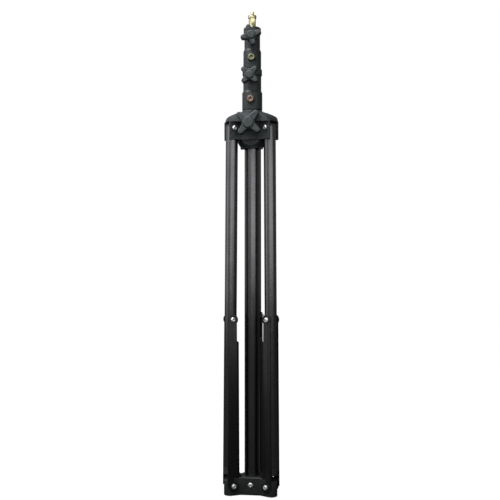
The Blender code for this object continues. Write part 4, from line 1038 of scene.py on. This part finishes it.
def leg_frame(number):
    spin = Matrix.Rotation(radians(LEG_AZIMUTHS[number]), 4, "Z")
    pivot = Matrix.Translation((SPIDER_PIVOT_RADIUS, 0, SPIDER_PIVOT_Z))
    return spin @ pivot @ Matrix.Rotation(-LEG_LEAN, 4, "Y")


def copy_out(pattern, name, matrix):
    piece = add_object(name, pattern.data.copy())
    return move(piece, matrix)


patterns = leg_patterns()
for number in LEG_AZIMUTHS:
    for part_name, (pattern, material, slot_name) in patterns.items():
        piece = copy_out(pattern, "folded_leg_%d_%s" % (number, part_name), leg_frame(number))
        place(piece, "leg_%d" % number, material, slot_name, "leg_%d_%s" % (number, part_name))
for pattern, _, _ in patterns.values():
    bpy.data.objects.remove(pattern, do_unlink=True)
print("each leg is", round((LEG_END + LEG_RADIUS) / MM), "mm long")

# %% [markdown]
# ## The braces
# A brace is a channel of 1.6 mm sheet that wraps round the back of its leg. It is an open outline
# with two round bends, given its thickness by Solidify, then cut to its side profile. Round ears
# carry the pivots, and the back of the channel stops short of the knee, so that the leg can swing
# through.

# %% Brace channel, knee bolts and nuts
BEND, KNEE_EAR, FOOT_EAR = 7.0 * MM, 10.0 * MM, 10.4 * MM
TOP_EDGE, LOW_EDGE, LIP, LIP_HEIGHT = 8.0 * MM, 12.5 * MM, 4 * MM, 5.0 * MM
NOTCH, NOTCH_RAMP, NOTCH_FLANGE = 42.5 * MM, 3 * MM, 0.575 * FLANGE_OUT


def brace_pattern():
    corner = (-FLANGE_OUT + BEND, FLANGE_OUT - BEND)
    upper = [(1.6 * FLANGE_OUT, FLANGE_OUT)] + arc(corner, BEND, 90, 180, 12)
    outline = upper + [(x, -y) for x, y in reversed(upper)]
    shape = bmesh.new()
    low, high = -FOOT_EAR, BRACE_LINK + KNEE_EAR
    rows = [[shape.verts.new((x, y, z)) for x, y in outline] for z in (low, high)]
    for i in range(len(outline) - 1):
        shape.faces.new((rows[0][i], rows[0][i + 1], rows[1][i + 1], rows[1][i]))
    bmesh.ops.recalc_face_normals(shape, faces=shape.faces)
    channel = from_bmesh("channel", shape)
    sheet = channel.modifiers.new("sheet", "SOLIDIFY")
    sheet.thickness = BRACE_SHEET
    sheet.use_even_offset = True
    sheet.offset = -1.0 if channel.data.polygons[0].normal.y > 0 else 1.0
    settle(channel)
    web_low = HUB_HEIGHT + 0.5 * MM - HUB_PIVOT_Z
    web_top = BRACE_LINK - NOTCH
    profile = [(-2 * FLANGE_OUT, web_low), (0, web_low), (0, 0), (LOW_EDGE, 0),
               (TOP_EDGE, BRACE_LINK), (-NOTCH_FLANGE, BRACE_LINK),
               (-NOTCH_FLANGE, web_top + NOTCH_RAMP), (-0.8 * FLANGE_OUT, web_top),
               (-2 * FLANGE_OUT, web_top)]
    common(channel, turn(plate("profile", profile, -THROUGH, THROUGH), 90, "X"))
    for side in (1, -1):
        for z, radius in ((0, FOOT_EAR), (BRACE_LINK, KNEE_EAR)):
            inset = 0.05 * BRACE_SHEET
            ear = cylinder("ear", radius, HINGE_HALF + inset, FLANGE_OUT - inset, 64)
            join(channel, shift(turn(ear, 90 * side, "X"), z=z))
    lip = box("lip", (-FLANGE_OUT - LIP, -FLANGE_OUT + BEND / 2, web_low + GAP),
              (-FLANGE_OUT + 0.7 * BRACE_SHEET, FLANGE_OUT - BEND / 2, web_low + GAP + LIP_HEIGHT))
    join(channel, lip)
    cut(channel, y_hole(BOLT_HOLE, THROUGH), y_hole(BOLT_HOLE, THROUGH, 0, BRACE_LINK))
    return soften(channel, 0.4 * MM, 2, 30)


def brace_frame(number):
    spin = Matrix.Rotation(radians(LEG_AZIMUTHS[number]), 4, "Z")
    pivot = Matrix.Translation((HUB_PIVOT_RADIUS, 0, HUB_PIVOT_Z))
    return spin @ pivot @ Matrix.Rotation(BRACE_LEAN, 4, "Y")


channel = brace_pattern()
knee_seat = FLANGE_OUT + GAP
knee_bolt = button_bolt("knee_bolt", knee_seat, HINGE_HALF)
knee_nut = lock_nut("knee_nut", -(knee_seat + 4 * MM), -knee_seat)
join(knee_nut, cylinder("end", BOLT_SHANK, -(knee_seat + 5 * MM), -HINGE_HALF, 32))
for number, side in BOLT_SIDES.items():
    for pattern, label, material, slot_name, node in (
            (channel, "folded", BRACE_PAINT, "brace_paint", "brace_%d_channel"),
            (knee_bolt, "bolted", ZINC, "zinc", "brace_%d_knee_bolt"),
            (knee_nut, "locked", ZINC, "zinc", "brace_%d_knee_nut")):
        local = Matrix.Identity(4)
        if pattern is not channel:
            local = Matrix.Translation((0, 0, BRACE_LINK)) @ Matrix.Rotation(
                radians(-90 * side), 4, "X")
        piece = copy_out(pattern, "%s_brace_%d" % (label, number), brace_frame(number) @ local)
        place(piece, "brace_%d" % number, material, slot_name, node % number)
for pattern in (channel, knee_bolt, knee_nut):
    bpy.data.objects.remove(pattern, do_unlink=True)
print("each brace is", round((BRACE_LINK + KNEE_EAR + FOOT_EAR) / MM), "mm long")

# %% [markdown]
# ## Floor, light and camera
# The photograph has a white ground and no visible horizon. The floor and the world look white to
# the camera, and the light that they give the object is weak. A low wide box in front on the right
# draws the long soft streak on each tube, a small box on the left lifts the tubes' left sides, and
# the key box above on the left lights the castings, the knobs and the bolt heads.

# %% Floor and world
BRIGHT_SIDE = (-0.95, -0.25, 0.2)                      # the room is lighter on the left


def paper_floor():
    material = bpy.data.materials.new("white_paper")
    material.use_nodes = True
    tree = material.node_tree
    shader = tree.nodes["Principled BSDF"]
    shader.inputs["Roughness"].default_value = 0.9
    shader.inputs["Specular IOR Level"].default_value = 0.1
    glow = add_node(tree, "ShaderNodeEmission", {"Color": linear("#ffffff"), "Strength": 1.08})
    path = add_node(tree, "ShaderNodeLightPath")
    paper = add_node(tree, "ShaderNodeMix", {"A": linear("#3a3a3a"), "B": linear("#ededed")},
                     {"Factor": path.outputs["Is Camera Ray"]}, data_type="RGBA")
    tree.links.new(paper.outputs["Result"], shader.inputs["Base Color"])
    share = add_node(tree, "ShaderNodeMath", {1: 0.9}, {0: path.outputs["Is Camera Ray"]},
                     operation="MULTIPLY")
    mix = add_node(tree, "ShaderNodeMixShader", links={0: share.outputs[0],
                                                       1: shader.outputs["BSDF"],
                                                       2: glow.outputs["Emission"]})
    tree.links.new(mix.outputs["Shader"], tree.nodes["Material Output"].inputs["Surface"])
    return material


floor = box("floor", (-6, -6, -0.012), (6, 6, -0.002))
floor.data.materials.append(paper_floor())

world = bpy.data.worlds.new("studio")
bpy.context.scene.world = world
world.use_nodes = True
sky = world.node_tree
toward = add_node(sky, "ShaderNodeTexCoord")
side = add_node(sky, "ShaderNodeVectorMath", {1: BRIGHT_SIDE},
                {0: toward.outputs["Generated"]}, operation="DOT_PRODUCT")
level = add_node(sky, "ShaderNodeMapRange", {"From Min": -0.35, "From Max": 0.85, "To Min": 0.03,
                                             "To Max": 0.36}, {"Value": side.outputs["Value"]},
                 interpolation_type="SMOOTHSTEP")
path = add_node(sky, "ShaderNodeLightPath")
fill = add_node(sky, "ShaderNodeMath", {1: 0.10}, {0: path.outputs["Is Diffuse Ray"],
                                                 2: level.outputs["Result"]},
                operation="MULTIPLY_ADD")
room = sky.nodes["Background"]
room.inputs["Color"].default_value = linear("#ffffff")
sky.links.new(fill.outputs[0], room.inputs["Strength"])
white = add_node(sky, "ShaderNodeBackground", {"Color": (1, 1, 1, 1), "Strength": 1.0})
gloss = add_node(sky, "ShaderNodeMath", {1: 0.12}, {0: path.outputs["Is Glossy Ray"]},
                 operation="MULTIPLY")
seen = add_node(sky, "ShaderNodeMath", links={0: path.outputs["Is Camera Ray"],
                                              1: path.outputs["Is Transmission Ray"]},
                operation="ADD")
share = add_node(sky, "ShaderNodeMath", links={0: seen.outputs[0], 1: gloss.outputs[0]},
                 operation="ADD", use_clamp=True)
mix = add_node(sky, "ShaderNodeMixShader", links={0: share.outputs[0], 1: room.outputs[0],
                                                  2: white.outputs[0]})
sky.links.new(mix.outputs[0], sky.nodes["World Output"].inputs["Surface"])
print("floor and world are white to the camera")

# %% Lamps and camera
CAMERA_AZIMUTH, CAMERA_DISTANCE, CAMERA_HEIGHT = 8.0, 1.70, 0.4635
LENS_PER_METRE, CAMERA_SHIFT = 37.61, -0.0045          # they frame the stand as in the photograph


def around(azimuth, distance, height):
    """A point round the stand; azimuth 0 is in front, and it grows towards the right."""
    return Vector((distance * sin(radians(azimuth)), -distance * cos(radians(azimuth)), height))


def soft_box(name, azimuth, distance, height, width, tall, power, target):
    """A lamp with a rectangular face, aimed at a height on the stand's axis."""
    light = bpy.data.lights.new(name, "AREA")
    light.shape = "RECTANGLE"
    light.size, light.size_y = width, tall
    light.energy = power
    lamp = add_object(name, light)
    lamp.location = around(azimuth, distance, height)
    aim = Vector((0, 0, target)) - lamp.location
    lamp.rotation_euler = aim.to_track_quat("-Z", "Y").to_euler()
    return lamp


soft_box("front_box", azimuth=CAMERA_AZIMUTH + 19, distance=2.3, height=0.98, width=3.2, tall=1.05,
         power=13, target=0.98)
soft_box("left_box", azimuth=CAMERA_AZIMUTH - 75, distance=2.0, height=0.95, width=0.8, tall=1.5,
         power=3, target=0.95)
soft_box("key_box", azimuth=CAMERA_AZIMUTH - 45, distance=1.1, height=2.5, width=2.2, tall=2.2,
         power=95, target=0.75)

camera = bpy.data.cameras.new("camera")
camera.sensor_width = 36.0
camera.lens = LENS_PER_METRE * CAMERA_DISTANCE
camera.shift_x = CAMERA_SHIFT
eye = add_object("camera", camera)
eye.location = around(CAMERA_AZIMUTH, CAMERA_DISTANCE, CAMERA_HEIGHT)
eye.rotation_euler = (radians(90), 0, radians(CAMERA_AZIMUTH))
bpy.context.scene.camera = eye
bpy.context.scene.view_settings.view_transform = "Standard"
print("lens", round(camera.lens, 1), "mm at", CAMERA_DISTANCE, "m")
